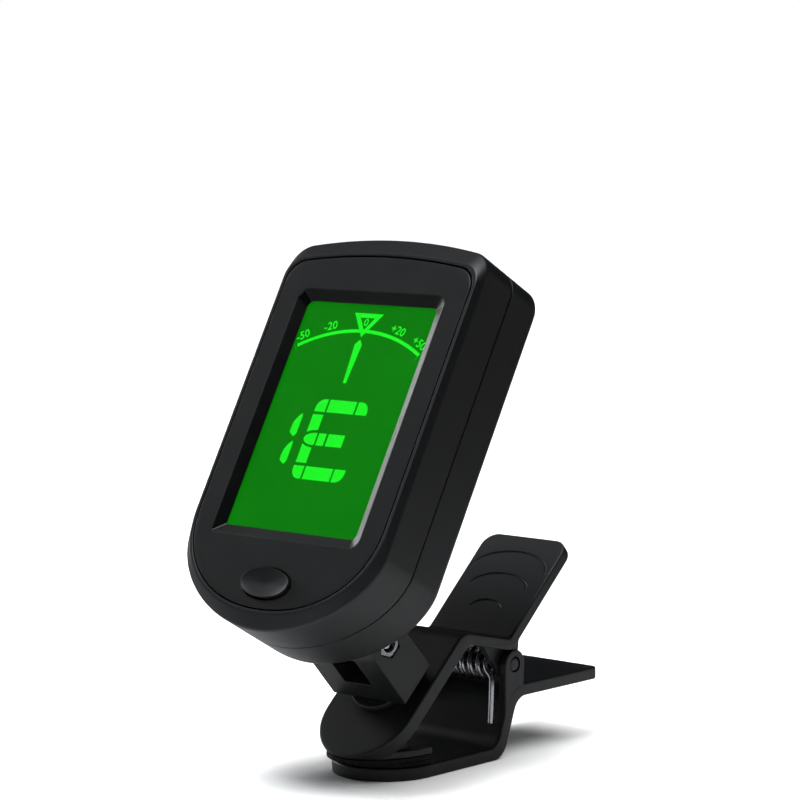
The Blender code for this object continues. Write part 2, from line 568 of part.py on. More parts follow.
def build_shells(tilt_axis, place, door_frame):
    front_rings = [face_outline(GROOVE, 1.1), face_outline(GROOVE, 0.0), face_outline(GROOVE + 0.45, 0.0),
                   outer_outline(0, BEVEL_DEPTH), outer_outline(0, PARTING_DEPTH),
                   outer_outline(WALL, PARTING_DEPTH), outer_outline(WALL, 2.0), face_outline(-2.2, 2.0),
                   face_outline(-2.2, 1.1)]
    front = add("front_shell", loft(front_rings, closed=True), BLACK_SHELL, tilt_axis, place)
    flange = BUTTON_FLANGE + 0.15
    cut(front, prism(ellipse(BUTTON_HALF_WIDTH + flange, BUTTON_HALF_HEIGHT + flange, (0, BUTTON_Y)), -3, -0.9))
    for x, y in SCREW_SPOTS:
        side = math.copysign(1, x)
        wall = HEAD_HALF_WIDTH - WALL / 2 - (TAPER_AT_LOWER_SCREWS if y < 0 else 0)
        rib = sorted((x, side * wall))
        join(front, box(rib, (y - 0.9, y + 0.9), (-6.2, -3.2)))
        join(front, moved(turned([(BOSS_RADIUS, -6.3), (BOSS_RADIUS, -3.1)], 20), x, y))
        cut(front, moved(turned([(SCREW_BORE, -7), (SCREW_BORE, -3.8)], 16), x, y))

    seam = PARTING_DEPTH + 0.1
    back_rings = [outer_outline(WALL, seam), outer_outline(0, seam), outer_outline(0, HEAD_DEPTH - 0.6),
                  outer_outline(0.15, HEAD_DEPTH - 0.2), outer_outline(0.6, HEAD_DEPTH)]
    outside = loft(back_rings[1:])
    back = add("back_shell", outside, BLACK_SHELL, tilt_axis, place)
    cut(back, loft([outer_outline(WALL, PARTING_DEPTH - 1), outer_outline(WALL, HEAD_DEPTH - BACK_FLOOR)]))
    build_lug(back)
    recess = HEAD_DEPTH - DOOR_THICKNESS - GAP
    cut(back, box((-DOOR_HALF_WIDTH - GAP, DOOR_HALF_WIDTH + GAP), (DOOR_BOTTOM - GAP, 40),
                  (-HEAD_DEPTH - 2, -recess)))
    cut(back, moved(turned([(CELL_RADIUS + 0.4, -20), (CELL_RADIUS + 0.4, -5)], 40), y=CELL_Y))
    for x, y in SCREW_SPOTS:
        join(back, moved(turned([(BOSS_RADIUS, -HEAD_DEPTH + 1), (BOSS_RADIUS, -6.55)], 20), x, y))
        cut(back, moved(turned([(SCREW_BORE, -20), (SCREW_BORE, -5)], 16), x, y))
        cut(back, moved(turned([(1.45, -20), (1.45, -HEAD_DEPTH + 0.75)], 16), x, y))

    lid = add("battery_door", loft(back_rings[1:]), BLACK_SHELL, door_frame,
              Vector(place) - door_frame.location / MM)
    keep(lid, box((-DOOR_HALF_WIDTH, DOOR_HALF_WIDTH), (DOOR_BOTTOM, 40),
                  (-HEAD_DEPTH - 2, -HEAD_DEPTH + DOOR_THICKNESS)))
    for i in range(3):
        y = DOOR_BOTTOM + 2.2 + 1.1 * i
        cut(lid, box((-4.5, 4.5), (y, y + 0.5), (-HEAD_DEPTH - 1, -HEAD_DEPTH + 0.3)))


def build_lug(back):
    """The tongue on the head's back that stands between the neck's cheeks."""
    y, z = -WINDOW_ABOVE_HINGE, -WINDOW_AHEAD_OF_HINGE
    outline = [(y + 4.6, -HEAD_DEPTH + 0.4)] + arc((y, z), LUG_RADIUS, 10, -190, 16) + [
        (y - 4.0, -HEAD_DEPTH + 0.4)]
    join(back, side_prism(outline, -LUG_HALF_WIDTH, LUG_HALF_WIDTH))
    bore = along_x(turned([(HINGE_SCREW_RADIUS + GAP, -5), (HINGE_SCREW_RADIUS + GAP, 5)], 20))
    cut(back, moved(bore, 0, y, z))


def build_face(tilt_axis, place):
    """The inlaid face plate with its flared window, and the display stack behind it."""
    face = add("face_plate", loft([face_outline(0, 0.0), face_outline(0, FACE_THICKNESS)]), BLACK_FACE,
               tilt_axis, place)
    flare = []
    for depth, grow in ((-0.4, WINDOW_SLOPE * 1.5), (FACE_THICKNESS, 0), (2, 0)):
        w, h = WINDOW_HALF_WIDTH + grow, WINDOW_HALF_HEIGHT + grow
        flare.append([(-w, -h, -depth), (w, -h, -depth), (w, h, -depth), (-w, h, -depth)])
    cut(face, loft(flare))
    cut(face, prism(ellipse(BUTTON_HALF_WIDTH + 0.15, BUTTON_HALF_HEIGHT + 0.15, (0, BUTTON_Y)), -3, 3))

    layers = (("lcd_lens", LENS, (11.6, 16.5), (0.9, 1.3)),
              ("lcd_panel", LCD_GREEN, (11.9, 17.2), (1.38, 2.9)),
              ("backlight_panel", DIFFUSER, (11.6, 16.2), (3.02, 4.1)))
    for name, look, (w, h), (front, back) in layers:
        add(name, rounded_box((-w, w), (-h, h), (-back, -front), 0.5), look, tilt_axis, place)
    for name, y in (("zebra_strip_upper", 16.75), ("zebra_strip_lower", -17.25)):
        add(name, box((-10.5, 10.5), (y - 0.35, y + 0.55), (-4.62, -3.05)), ZEBRA, tilt_axis, place)


def build_electronics(tilt_axis, place):
    board_rings = [outer_outline(WALL + 0.6, 4.75), outer_outline(WALL + 0.6, 5.55)]
    board = add("circuit_board", loft(board_rings), BOARD_GREEN, tilt_axis, place)
    for x, y in SCREW_SPOTS:
        cut(board, moved(turned([(BOARD_NOTCH, -9), (BOARD_NOTCH, 0)], 16), x, y))

    for name, x in (("backlight_led_left", -1), ("backlight_led_right", 1)):
        add(name, box((x * 13.0 - 0.7, x * 13.0 + 0.7), (-0.9, 0.9), (-4.65, -3.2)), LED_WHITE, tilt_axis, place)
    add("tuner_chip", turned([(3.4, 0), (3.1, 0.5), (2.0, 0.85)], 24), CHIP_BLACK, tilt_axis,
        Vector(place) + Vector((0, 10.3, -5.65)), (180, 0, 0))
    add("quartz_crystal", rounded_box((-3.4, 3.4), (-0.9, 0.9), (-7.5, -5.65), 0.85), STEEL, tilt_axis,
        Vector(place) + Vector((0, 16.0, 0)))
    for name, x, y in (("capacitor_left", -9.0, 14.5), ("capacitor_right", 9.0, 14.5)):
        add(name, box((x - 0.9, x + 0.9), (y - 0.6, y + 0.6), (-6.6, -5.65)), CERAMIC, tilt_axis, place)

    add("piezo_sensor", turned([(4.6, -HEAD_DEPTH + BACK_FLOOR + 0.1), (4.6, -HEAD_DEPTH + BACK_FLOOR + 0.5)], 32),
        BRASS, tilt_axis, Vector(place) + Vector((0, -21.4, 0)))
    body = box((-2.2, 2.2), (BUTTON_Y - 1.5, BUTTON_Y + 1.5), (-4.65, -3.45))
    switch = add("tact_switch", body, STEEL, tilt_axis, place)
    cut(switch, moved(turned([(1.0, -5), (1.0, 0)], 20), y=BUTTON_Y))


def build_battery(tilt_axis, place):
    t = CELL_THICKNESS
    cell = turned([(8.6, 0), (CELL_RADIUS - 0.35, 0.35), (CELL_RADIUS, 0.5), (CELL_RADIUS, t - 0.15),
                   (CELL_RADIUS - 0.2, t)], 48)
    add("coin_cell", cell, STEEL, tilt_axis, Vector(place) + Vector((0, CELL_Y, CELL_FRONT)), (180, 0, 0))
    spring = CELL_FRONT + 0.35
    strip = box((-1.6, 1.6), (CELL_Y - 4, CELL_Y + 4), (spring, spring + 0.3))
    negative = add("battery_contact_negative", strip, BRASS, tilt_axis, place)
    join(negative, box((-1.6, 1.6), (CELL_Y + 3.6, CELL_Y + 4.0), (spring + 0.2, -5.65)))
    clip_y = CELL_Y + CELL_RADIUS + 0.75
    add("battery_contact_positive", box((-2.2, 2.2), (clip_y, clip_y + 0.3), (CELL_FRONT - CELL_THICKNESS + 0.9, -5.7)), BRASS, tilt_axis,
        place)


def build_button(tilt_axis, place, button_frame, plunger_frame):
    """A dished oval power button over a tact switch's plunger."""
    w, h = BUTTON_HALF_WIDTH, BUTTON_HALF_HEIGHT
    wide, high = w + BUTTON_FLANGE, h + BUTTON_FLANGE
    rings = [(wide, high, -2.1), (wide, high, -1.0), (w, h, -0.95), (w, h, 0.15),
             (w - 0.35, h - 0.35, 0.4), (w * 0.6, h * 0.5, 0.12), (w * 0.25, h * 0.2, 0.0)]
    cap = loft([[(x, y, z) for x, y in ellipse(a, b)] for a, b, z in rings])
    button = add("power_button", cap, BLACK_SHELL, button_frame)
    join(button, turned([(0.8, -2.25), (0.8, -2.0)], 16))
    stem = turned([(0.8, -4.3), (0.8, -2.4)], 16)
    add("tact_plunger", stem, CHIP_BLACK, plunger_frame)


def build_case_screws(tilt_axis, place):
    head = -HEAD_DEPTH + 0.65
    for number, (x, y) in enumerate(SCREW_SPOTS, 1):
        screw = turned([(1.3, head - 0.6), (1.3, head), (0.6, head + 0.01), (0.6, -4.2)], 16)
        screw = add(f"case_screw_{number}", screw, STEEL, tilt_axis, Vector(place) + Vector((x, y, 0)))
        for a, b in ((0.16, 0.85), (0.85, 0.16)):
            cut(screw, box((-a, a), (-b, b), (head - 2, head - 0.25)))


def main():
    clear_scene()
    clip_axis = empty("clip_axis", None, (0, PIN_Y, PIN_Z))
    y, z = on_ramp(SWIVEL_ALONG_RAMP, 0)
    swivel_axis = empty("swivel_axis", clip_axis, (0, y - PIN_Y, z - PIN_Z), RAMP_ANGLE)
    tilt_axis = empty("tilt_axis", swivel_axis, (0, 0, TILT_HEIGHT), 90 - HEAD_LEAN - RAMP_ANGLE)
    place = (0, WINDOW_ABOVE_HINGE, WINDOW_AHEAD_OF_HINGE)
    button_place = Vector(place) + Vector((0, BUTTON_Y, 0))
    button_frame = empty("button_axis", tilt_axis, button_place)
    plunger_frame = empty("plunger_axis", tilt_axis, button_place)
    door_frame = empty("door_slide", tilt_axis, Vector(place) + Vector((0, CELL_Y, -HEAD_DEPTH)))

    build_lower_jaw()
    build_upper_jaw(clip_axis)
    build_pads(clip_axis)
    build_pin_and_spring(clip_axis)
    build_neck(clip_axis, swivel_axis)
    build_shells(tilt_axis, place, door_frame)
    build_face(tilt_axis, place)
    build_electronics(tilt_axis, place)
    build_battery(tilt_axis, place)
    build_button(tilt_axis, place, button_frame, plunger_frame)
    build_case_screws(tilt_axis, place)


main()
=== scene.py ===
"""Clip-on instrument tuner, as it looks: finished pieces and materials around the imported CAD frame."""
import math

import bmesh
import bpy
from mathutils import Matrix, Vector


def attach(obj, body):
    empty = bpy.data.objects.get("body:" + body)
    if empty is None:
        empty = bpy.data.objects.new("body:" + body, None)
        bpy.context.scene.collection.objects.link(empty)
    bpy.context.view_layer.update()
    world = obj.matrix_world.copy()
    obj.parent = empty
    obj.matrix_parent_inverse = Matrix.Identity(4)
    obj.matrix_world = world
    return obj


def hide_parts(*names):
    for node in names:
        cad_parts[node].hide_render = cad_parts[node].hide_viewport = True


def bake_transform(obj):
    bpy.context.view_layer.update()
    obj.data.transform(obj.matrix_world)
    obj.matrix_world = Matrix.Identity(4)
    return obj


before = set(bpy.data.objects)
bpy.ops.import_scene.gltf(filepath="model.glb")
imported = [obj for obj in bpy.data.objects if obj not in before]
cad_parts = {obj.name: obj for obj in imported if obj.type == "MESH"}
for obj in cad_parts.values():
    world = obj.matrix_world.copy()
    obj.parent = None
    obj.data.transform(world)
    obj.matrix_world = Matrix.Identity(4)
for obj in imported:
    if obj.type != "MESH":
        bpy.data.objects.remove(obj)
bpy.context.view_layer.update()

MM = 0.001                      # lengths below are in millimetres

# ---- Sizes, as in the CAD source -----------------------------------------------------------------
CLIP_HALF_WIDTH = 7.0
PIN = (17.55, 12.1)             # pivot pin's centre, (y, z)
PIN_RADIUS, PIN_BORE, WIRE_RADIUS = 0.9, 1.05, 0.38
JAW_FRONT_Y = -6.9
OUTER_EARS, INNER_EARS = (5.85, 6.98), (4.8, 5.7)               # lower and upper jaw's, from the middle
LOWER_PAD, UPPER_PAD, FOOT = (1.78, 2.34), (2.42, 2.97), (3.05, 3.92)       # bottom and top heights
FOOT_BACK_Y, FOOT_REACH, UPPER_PAD_REACH = 0.92, 9.35, 9.5      # foot and pad are half ellipses
RAMP = (-3.18, 8.27)            # a point on the upper jaw's ramp
RAMP_ANGLE = math.radians(42.5)
TAB_ANGLE = math.radians(42.7)
TAB_LENGTH = 16.85
SWIVEL_ALONG, TILT_HEIGHT = 4.3, 9.3        # from the ramp's point, along it and over it
SWIVEL_BORE, HINGE_BORE, HINGE_LUG = 1.25, 0.92, 1.75
NUT_FLATS = 3.2
HEAD_LEAN = 29.5
WINDOW_FROM_HINGE = (0, 22.67, 18.1)
HEAD_HALF_WIDTH, HEAD_TOP, HEAD_BOTTOM, HEAD_DEPTH = 16.5, 24.8, 28.6, 12.45
BEVEL_DEPTH, PARTING_DEPTH, WALL = 0.95, 6.4, 1.3
HEAD_SHAPE, FACE_SHAPE = (17.1, 1.87, 1.75), (14.0, 2.15, 1.35)  # round bottom's start and power, arch
CORNER_SWEEP = 82               # degrees that an upper corner turns before the arched top takes over
FACE_HALF_WIDTH, FACE_TOP, FACE_BOTTOM, FACE_THICKNESS = 15.25, 21.75, 25.9, 0.8
GROOVE = 0.3
WINDOW = (10.75, 15.55)         # half width and half height at the window's foot
WINDOW_SLOPE = 1.45
LENS_DEPTHS = (0.9, 1.3)
DISPLAY_DEPTHS = (1.38, 2.9)
GRAPHICS_X = -0.3                # the display's graphics stand this far left of its middle
BUTTON_Y, BUTTON_HALF = -22.75, (3.95, 1.95)
BUTTON_FLANGE, BUTTON_GAP = 0.55, 0.15
CELL_RADIUS, CELL_Y = 10.0, -6.3
DOOR_HALF_WIDTH, DOOR_BOTTOM, DOOR_THICKNESS, BACK_FLOOR = 11.0, -18.0, 1.1, 2.1
DOOR_REACH = 29.0               # half the door cutter's height, enough to run out of the head's top
SCREW_SPOTS = ((-13.0, 18.3), (13.0, 18.3), (-11.2, -19.6), (11.2, -19.6))
SCREW_BOSS, SCREW_BORE, SCREW_HEAD = 1.7, 0.75, 1.3
NECK_HALF_WIDTH, NECK_HALF_DEPTH = 6.2, 3.3
GAP = 0.12                      # clearance between neighbouring pieces


def on_ramp(along, above):
    """World (y, z) of a point on or over the ramp's upper face."""
    c, s = math.cos(RAMP_ANGLE), math.sin(RAMP_ANGLE)
    return RAMP[0] + along * c - above * s, RAMP[1] + along * s + above * c


WORLD = Matrix.Identity(4)
AT_PIN = Matrix.Translation((0, *PIN))
RAMP_FRAME = Matrix.Translation((0, *RAMP)) @ Matrix.Rotation(RAMP_ANGLE, 4, 'X')
SWIVEL = Matrix.Translation((0, *on_ramp(SWIVEL_ALONG, 0))) @ Matrix.Rotation(RAMP_ANGLE, 4, 'X')
HINGE = Matrix.Translation((0, *on_ramp(SWIVEL_ALONG, TILT_HEIGHT)))
HEAD = (HINGE @ Matrix.Rotation(math.radians(90 - HEAD_LEAN), 4, 'X')
        @ Matrix.Translation(WINDOW_FROM_HINGE))      # x right, y up the display, z out of it


# ---- Meshes --------------------------------------------------------------------------------------
def loft(rings, closed=False):
    """Skin equal rings of points; the ends are filled, or joined to each other when closed."""
    bm = bmesh.new()
    loops = [[bm.verts.new(p) for p in ring] for ring in rings]
    pairs = list(zip(loops, loops[1:] + loops[:1])) if closed else list(zip(loops, loops[1:]))
    for low, high in pairs:
        for i in range(len(low)):
            j = (i + 1) % len(low)
            bm.faces.new((low[i], low[j], high[j], high[i]))
    if not closed:
        bm.faces.new(loops[0])
        bm.faces.new(loops[-1])
    return bm


def soften(rings, radii, steps=4, closed=False):
    """Round a loft's edges: each control ring becomes a curve from just before it to just after it."""
    out = []
    count = len(rings)
    for number, (ring, radius) in enumerate(zip(rings, radii)):
        first, last = number == 0, number == count - 1
        if radius <= 0 or (not closed and (first or last)):
            out.append([Vector(p) for p in ring])
            continue
        before, after = rings[number - 1], rings[(number + 1) % count]
        starts, ends = [], []
        for a, b, c in zip(before, ring, after):
            a, b, c = Vector(a), Vector(b), Vector(c)
            starts.append(b + (a - b) * min(radius / max((a - b).length, 1e-9), 0.48))
            ends.append(b + (c - b) * min(radius / max((c - b).length, 1e-9), 0.48))
        for i in range(steps + 1):
            t = i / steps
            out.append([s * (1 - t) ** 2 + Vector(b) * 2 * t * (1 - t) + e * t * t
                        for s, b, e in zip(starts, ring, ends)])
    return out


def arc(centre, radius, start, end, steps):
    """Points on a circle's arc, its ends included; angles in degrees."""
    return [(centre[0] + radius * math.cos(math.radians(start + (end - start) * i / steps)),
             centre[1] + radius * math.sin(math.radians(start + (end - start) * i / steps)))
            for i in range(steps + 1)]


def ellipse(half_width, half_height, centre=(0, 0), sides=64):
    return [(centre[0] + half_width * math.cos(2 * math.pi * i / sides),
             centre[1] + half_height * math.sin(2 * math.pi * i / sides)) for i in range(sides)]


def rounded_rectangle(half_width, half_height, radii, centre=(0, 0), steps=8):
    """One radius for all corners, or four: upper right, upper left, lower left, lower right."""
    points = []
    radii = radii if isinstance(radii, tuple) else (radii,) * 4
    for number, ((sx, sy), radius) in enumerate(zip(((1, 1), (-1, 1), (-1, -1), (1, -1)), radii)):
        middle = (centre[0] + sx * (half_width - radius), centre[1] + sy * (half_height - radius))
        points += arc(middle, radius, 90 * number, 90 * number + 90, steps)
    return points


def inset(points, distance):
    """Move a flat outline inwards; it runs anticlockwise."""
    out = []
    for i, here in enumerate(points):
        before, after = Vector(points[i - 1]), Vector(points[(i + 1) % len(points)])
        a, b = (Vector(here) - before).normalized(), (after - Vector(here)).normalized()
        normal = Vector((-a.y, a.x)) + Vector((-b.y, b.x))
        reach = distance * 2 / max(normal.length_squared, 0.4)
        out.append((here[0] + normal.x * reach, here[1] + normal.y * reach))
    return out


def plate(outline, low, high, radius=0.0, steps=4):
    """A flat outline in XY drawn up along Z, with rounded edges."""
    if not radius:
        return loft([[(x, y, z) for x, y in outline] for z in (low, high)])
    inner = inset(outline, 2.2 * radius)
    rings = [[(x, y, z) for x, y in shape] for shape, z in
             ((inner, low), (outline, low), (outline, high), (inner, high))]
    return loft(soften(rings, (0, radius, radius, 0), steps))


def side_plate(outline, low, high, radius=0.0, steps=4):
    """A flat outline in YZ drawn along X, with rounded edges."""
    bm = plate(outline, low, high, radius, steps)
    for v in bm.verts:
        v.co = (v.co.z, v.co.x, v.co.y)
    return bm


def box(x, y, z):
    return plate([(x[0], y[0]), (x[1], y[0]), (x[1], y[1]), (x[0], y[1])], z[0], z[1])


def turned(profile, sides=64, radii=None):
    """A round piece about Z from (radius, height) pairs running up its outside."""
    rings = [[(r * math.cos(2 * math.pi * i / sides), r * math.sin(2 * math.pi * i / sides), z)
              for i in range(sides)] for r, z in profile]
    return loft(soften(rings, radii) if radii else rings)


def along_x(bm):
    bmesh.ops.rotate(bm, verts=bm.verts, matrix=Matrix.Rotation(math.radians(90), 3, 'Y'))
    return bm


def moved(bm, x=0.0, y=0.0, z=0.0):
    bmesh.ops.translate(bm, verts=bm.verts, vec=(x, y, z))
    return bm


def tube(path, radius, sides=14):
    """A round wire along a path, its section carried along without twisting."""
    points = [Vector(p) for p in path]
    rings, side = [], None
    for i, p in enumerate(points):
        before, after = points[max(i - 1, 0)], points[min(i + 1, len(points) - 1)]
        ahead = (after - before).normalized()
        if side is None:
            side = ahead.orthogonal().normalized()
        side = (side - ahead * side.dot(ahead)).normalized()
        other = ahead.cross(side)
        rings.append([p + (side * math.cos(2 * math.pi * k / sides)
                           + other * math.sin(2 * math.pi * k / sides)) * radius for k in range(sides)])
    return loft(rings)


def line_crossing(p, d, q, e):
    t = ((q[0] - p[0]) * e[1] - (q[1] - p[1]) * e[0]) / (d[0] * e[1] - d[1] * e[0])
    return (p[0] + t * d[0], p[1] + t * d[1])


def offset_path(points, thicknesses, side):
    """The other face of a bent strip: each straight moved sideways by its own thickness."""
    lines = []
    for (a, b), thickness in zip(zip(points, points[1:]), thicknesses):
        length = math.dist(a, b)
        d = ((b[0] - a[0]) / length, (b[1] - a[1]) / length)
        n = (-d[1] * side * thickness, d[0] * side * thickness)
        lines.append(((a[0] + n[0], a[1] + n[1]), (b[0] + n[0], b[1] + n[1]), d))
    corners = [line_crossing(one[0], one[2], two[0], two[2]) for one, two in zip(lines, lines[1:])]
    return [lines[0][0]] + corners + [lines[-1][1]]


def rounded_path(points, radii, steps=12):
    """A path with an arc of the given radius at each inner corner."""
    out = [points[0]]
    for before, corner, after, radius in zip(points, points[1:], points[2:], radii):
        a, b = Vector(before) - Vector(corner), Vector(after) - Vector(corner)
        half = a.angle(b) / 2
        reach = radius / math.tan(half)
        centre = Vector(corner) + (a.normalized() + b.normalized()).normalized() * radius / math.sin(half)
        start = Vector(corner) + a.normalized() * reach - centre
        sweep = (Vector(corner) + b.normalized() * reach - centre).angle_signed(start)
        for i in range(steps + 1):
            turn = sweep * i / steps
            out.append((centre.x + start.x * math.cos(turn) - start.y * math.sin(turn),
                        centre.y + start.x * math.sin(turn) + start.y * math.cos(turn)))
    return out + [points[-1]]


def bent_plate(outline, lower, upper, thickness, radius):
    """A flat plate with rounded edges, bent to run between a strip's lower and upper faces.

    The outline is in (x, distance along the strip); lower and upper are matching (y, z) paths.
    """
    stations = [0.0]
    middles = [((a[0] + b[0]) / 2, (a[1] + b[1]) / 2) for a, b in zip(lower, upper)]
    for a, b in zip(middles, middles[1:]):
        stations.append(stations[-1] + math.dist(a, b))
    bm = plate(outline(stations[-1]), 0, thickness, radius, 5)
    for s in stations[1:-1]:
        bmesh.ops.bisect_plane(bm, geom=bm.verts[:] + bm.edges[:] + bm.faces[:], dist=1e-6,
                               plane_co=(0, s, 0), plane_no=(0, 1, 0))
    for v in bm.verts:
        x, s, h = v.co
        i = max(k for k in range(len(stations) - 1) if stations[k] <= s + 1e-6 or k == 0)
        t = (s - stations[i]) / max(stations[i + 1] - stations[i], 1e-9)
        low = [lower[i][k] + (lower[i + 1][k] - lower[i][k]) * t for k in (0, 1)]
        high = [upper[i][k] + (upper[i + 1][k] - upper[i][k]) * t for k in (0, 1)]
        f = h / thickness
        v.co = (x, low[0] + (high[0] - low[0]) * f, low[1] + (high[1] - low[1]) * f)
    return bm


def strip_plan(rear_corner, front_radius=CLIP_HALF_WIDTH):
    """A jaw's outline on the flat: a round front, straight sides and round rear corners."""
    def outline(length):
        inner = CLIP_HALF_WIDTH - rear_corner
        return (arc((0, front_radius), front_radius, 180, 360, 48)
                + arc((inner, length - rear_corner), rear_corner, 0, 90, 10)
                + arc((-inner, length - rear_corner), rear_corner, 90, 180, 10))
    return outline


# ---- Objects -------------------------------------------------------------------------------------
def solid(name, bm, place=WORLD):
    """An object from a mesh made in millimetres in its own frame."""
    bmesh.ops.recalc_face_normals(bm, faces=bm.faces)
    bm.transform(Matrix.Scale(MM, 4) @ place)
    mesh = bpy.data.meshes.new(name)
    bm.to_mesh(mesh)
    bm.free()
    obj = bpy.data.objects.new(name, mesh)
    bpy.context.scene.collection.objects.link(obj)
    return obj


def boolean(obj, bm, operation, place=WORLD):
    apply_boolean(obj, solid("cutter", bm, place), operation)


def apply_boolean(obj, tool, operation):
    modifier = obj.modifiers.new("cut", 'BOOLEAN')
    modifier.operation, modifier.solver, modifier.object = operation, 'EXACT', tool
    bpy.context.view_layer.update()
    result = bpy.data.meshes.new_from_object(obj.evaluated_get(bpy.context.evaluated_depsgraph_get()))
    obj.modifiers.clear()
    old, obj.data = obj.data, result
    bpy.data.meshes.remove(old)
    bpy.data.objects.remove(tool, do_unlink=True)


def cut(obj, bm, place=WORLD):
    boolean(obj, bm, 'DIFFERENCE', place)


def join(obj, bm, place=WORLD):
    boolean(obj, bm, 'UNION', place)


def join_object(obj, other):
    apply_boolean(obj, other, 'UNION')


def finish(obj, look, body, slot, *nodes, bevel=0.0, angle=38):
    """Smooth the piece, give it its look, and hang it on its body in place of its CAD nodes."""
    if bevel:
        rounding = obj.modifiers.new("edges", 'BEVEL')
        rounding.width, rounding.segments, rounding.limit_method = bevel * MM, 2, 'ANGLE'
        rounding.angle_limit = math.radians(40)
        bpy.context.view_layer.update()
        result = bpy.data.meshes.new_from_object(obj.evaluated_get(bpy.context.evaluated_depsgraph_get()))
        obj.modifiers.clear()
        obj.data = result
    tidy = bmesh.new()
    tidy.from_mesh(obj.data)
    bmesh.ops.remove_doubles(tidy, verts=tidy.verts, dist=0.0015 * MM)
    bmesh.ops.dissolve_degenerate(tidy, dist=0.001 * MM, edges=tidy.edges)
    tidy.to_mesh(obj.data)
    tidy.free()
    obj.data.materials.clear()
    obj.data.materials.append(look)
    obj.data.shade_smooth()
    obj.data.set_sharp_from_angle(angle=math.radians(angle))
    weighted = obj.modifiers.new("normals", 'WEIGHTED_NORMAL')
    weighted.keep_sharp = True
    weighted.weight = 80
    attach(obj, body)
    if nodes:
        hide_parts(*nodes)


# ---- Materials -----------------------------------------------------------------------------------
class Look:
    """A Principled material and short ways to add the nodes that drive it."""

    def __init__(self, name):
        self.material = bpy.data.materials.new(name)
        self.material.use_nodes = True
        self.tree = self.material.node_tree
        self.shader = self.tree.nodes["Principled BSDF"]
        self.place = self.tree.nodes.new("ShaderNodeTexCoord").outputs["Object"]

    def node(self, kind, **values):
        made = self.tree.nodes.new("ShaderNode" + kind)
        for key, value in values.items():
            setattr(made, key, value)
        return made

    def link(self, out, socket):
        self.tree.links.new(out, socket)

    def value(self, socket, value):
        self.shader.inputs[socket].default_value = value

    def noise(self, size, detail=3.0):
        """Noise whose blobs are about size millimetres across."""
        node = self.node("TexNoise")
        node.inputs["Scale"].default_value = 1 / (size * MM)
        node.inputs["Detail"].default_value = detail
        self.link(self.place, node.inputs["Vector"])
        return node.outputs["Fac"]

    def ranged(self, source, low, high, to_low, to_high):
        node = self.node("MapRange")
        for socket, number in zip(("From Min", "From Max", "To Min", "To Max"), (low, high, to_low, to_high)):
            node.inputs[socket].default_value = number
        self.link(source, node.inputs["Value"])
        return node.outputs["Result"]

    def math(self, operation, a, b):
        node = self.node("Math", operation=operation)
        for socket, item in zip(node.inputs, (a, b)):
            if isinstance(item, (int, float)):
                socket.default_value = item
            else:
                self.link(item, socket)
        return node.outputs[0]

    def mix(self, share, a, b):
        node = self.node("Mix", data_type='RGBA')
        self.link(share, node.inputs["Factor"])
        for socket, item in zip((node.inputs[6], node.inputs[7]), (a, b)):
            if isinstance(item, tuple):
                socket.default_value = (*item, 1.0)
            else:
                self.link(item, socket)
        return node.outputs[2]

    def edges(self, radius):
        """How near a point is to a hard edge, 0 to 1."""
        bevel = self.node("Bevel", samples=4)
        bevel.inputs["Radius"].default_value = radius * MM
        dot = self.node("VectorMath", operation='DOT_PRODUCT')
        self.link(bevel.outputs[0], dot.inputs[0])
        self.link(self.node("NewGeometry").outputs["Normal"], dot.inputs[1])
        return self.ranged(dot.outputs["Value"], 0.995, 0.86, 0.0, 1.0)

    def bump(self, height, distance, strength=1.0):
        node = self.node("Bump")
        node.inputs["Distance"].default_value = distance * MM
        node.inputs["Strength"].default_value = strength
        self.link(height, node.inputs["Height"])
        self.link(node.outputs[0], self.shader.inputs["Normal"])


def plastic(name, color, roughness, grain=0.16, depth=0.006, edge_wear_and_sheen=0.35, specular=0.5):
    """Moulded plastic: spark-eroded grain, faint flow marks, and edges painted paler, partly as rubbed wear
    and partly as a painted highlight.
    """
    look = Look(name)
    look.value("Specular IOR Level", specular)
    dark = tuple(c * 0.95 for c in color)
    pale = tuple(c * 1.05 for c in color)
    body = look.mix(look.ranged(look.noise(5.0, 2.0), 0.35, 0.65, 0, 1), dark, pale)
    # Edges painted paler: part rubbed wear, part painted edge highlight.
    rubbed_and_sheen_color = tuple(min(1.0, c * 2.2 + 0.012) for c in color)
    patchy = look.ranged(look.noise(1.6, 3.0), 0.38, 0.7, 0.25, 1.0)
    edge_wear_and_sheen_mask = look.math('MULTIPLY', look.math('MULTIPLY', look.edges(0.16), patchy), edge_wear_and_sheen)
    look.link(look.mix(edge_wear_and_sheen_mask, body, rubbed_and_sheen_color), look.shader.inputs["Base Color"])
    look.link(look.ranged(look.noise(2.2, 4.0), 0.3, 0.7, roughness - 0.015, roughness + 0.02),
              look.shader.inputs["Roughness"])
    look.bump(look.noise(grain, 2.0), depth)
    return look.material


def metal(name, color, roughness):
    """Bare or plated metal with a fine grain and slight staining."""
    look = Look(name)
    look.value("Metallic", 1.0)
    grain = look.noise(0.12, 2.0)
    stained = look.ranged(look.noise(2.4, 4.0), 0.35, 0.75, 0.0, 0.24)
    look.link(look.mix(stained, color, tuple(c * 0.55 for c in color)), look.shader.inputs["Base Color"])
    look.link(look.ranged(grain, 0.3, 0.7, roughness - 0.04, roughness + 0.06),
              look.shader.inputs["Roughness"])
    look.bump(grain, 0.001)
    return look.material


def rubber(name, color):
    """Matt rubber with a dusty, finely pitted skin."""
    look = Look(name)
    look.value("Specular IOR Level", 0.3)
    dust = look.ranged(look.noise(1.2, 5.0), 0.45, 0.8, 0.0, 0.5)
    look.link(look.mix(dust, color, tuple(c * 2 + 0.01 for c in color)), look.shader.inputs["Base Color"])
    look.link(look.ranged(look.noise(0.8, 3.0), 0.3, 0.7, 0.72, 0.92), look.shader.inputs["Roughness"])
    look.bump(look.noise(0.1, 3.0), 0.015)
    return look.material


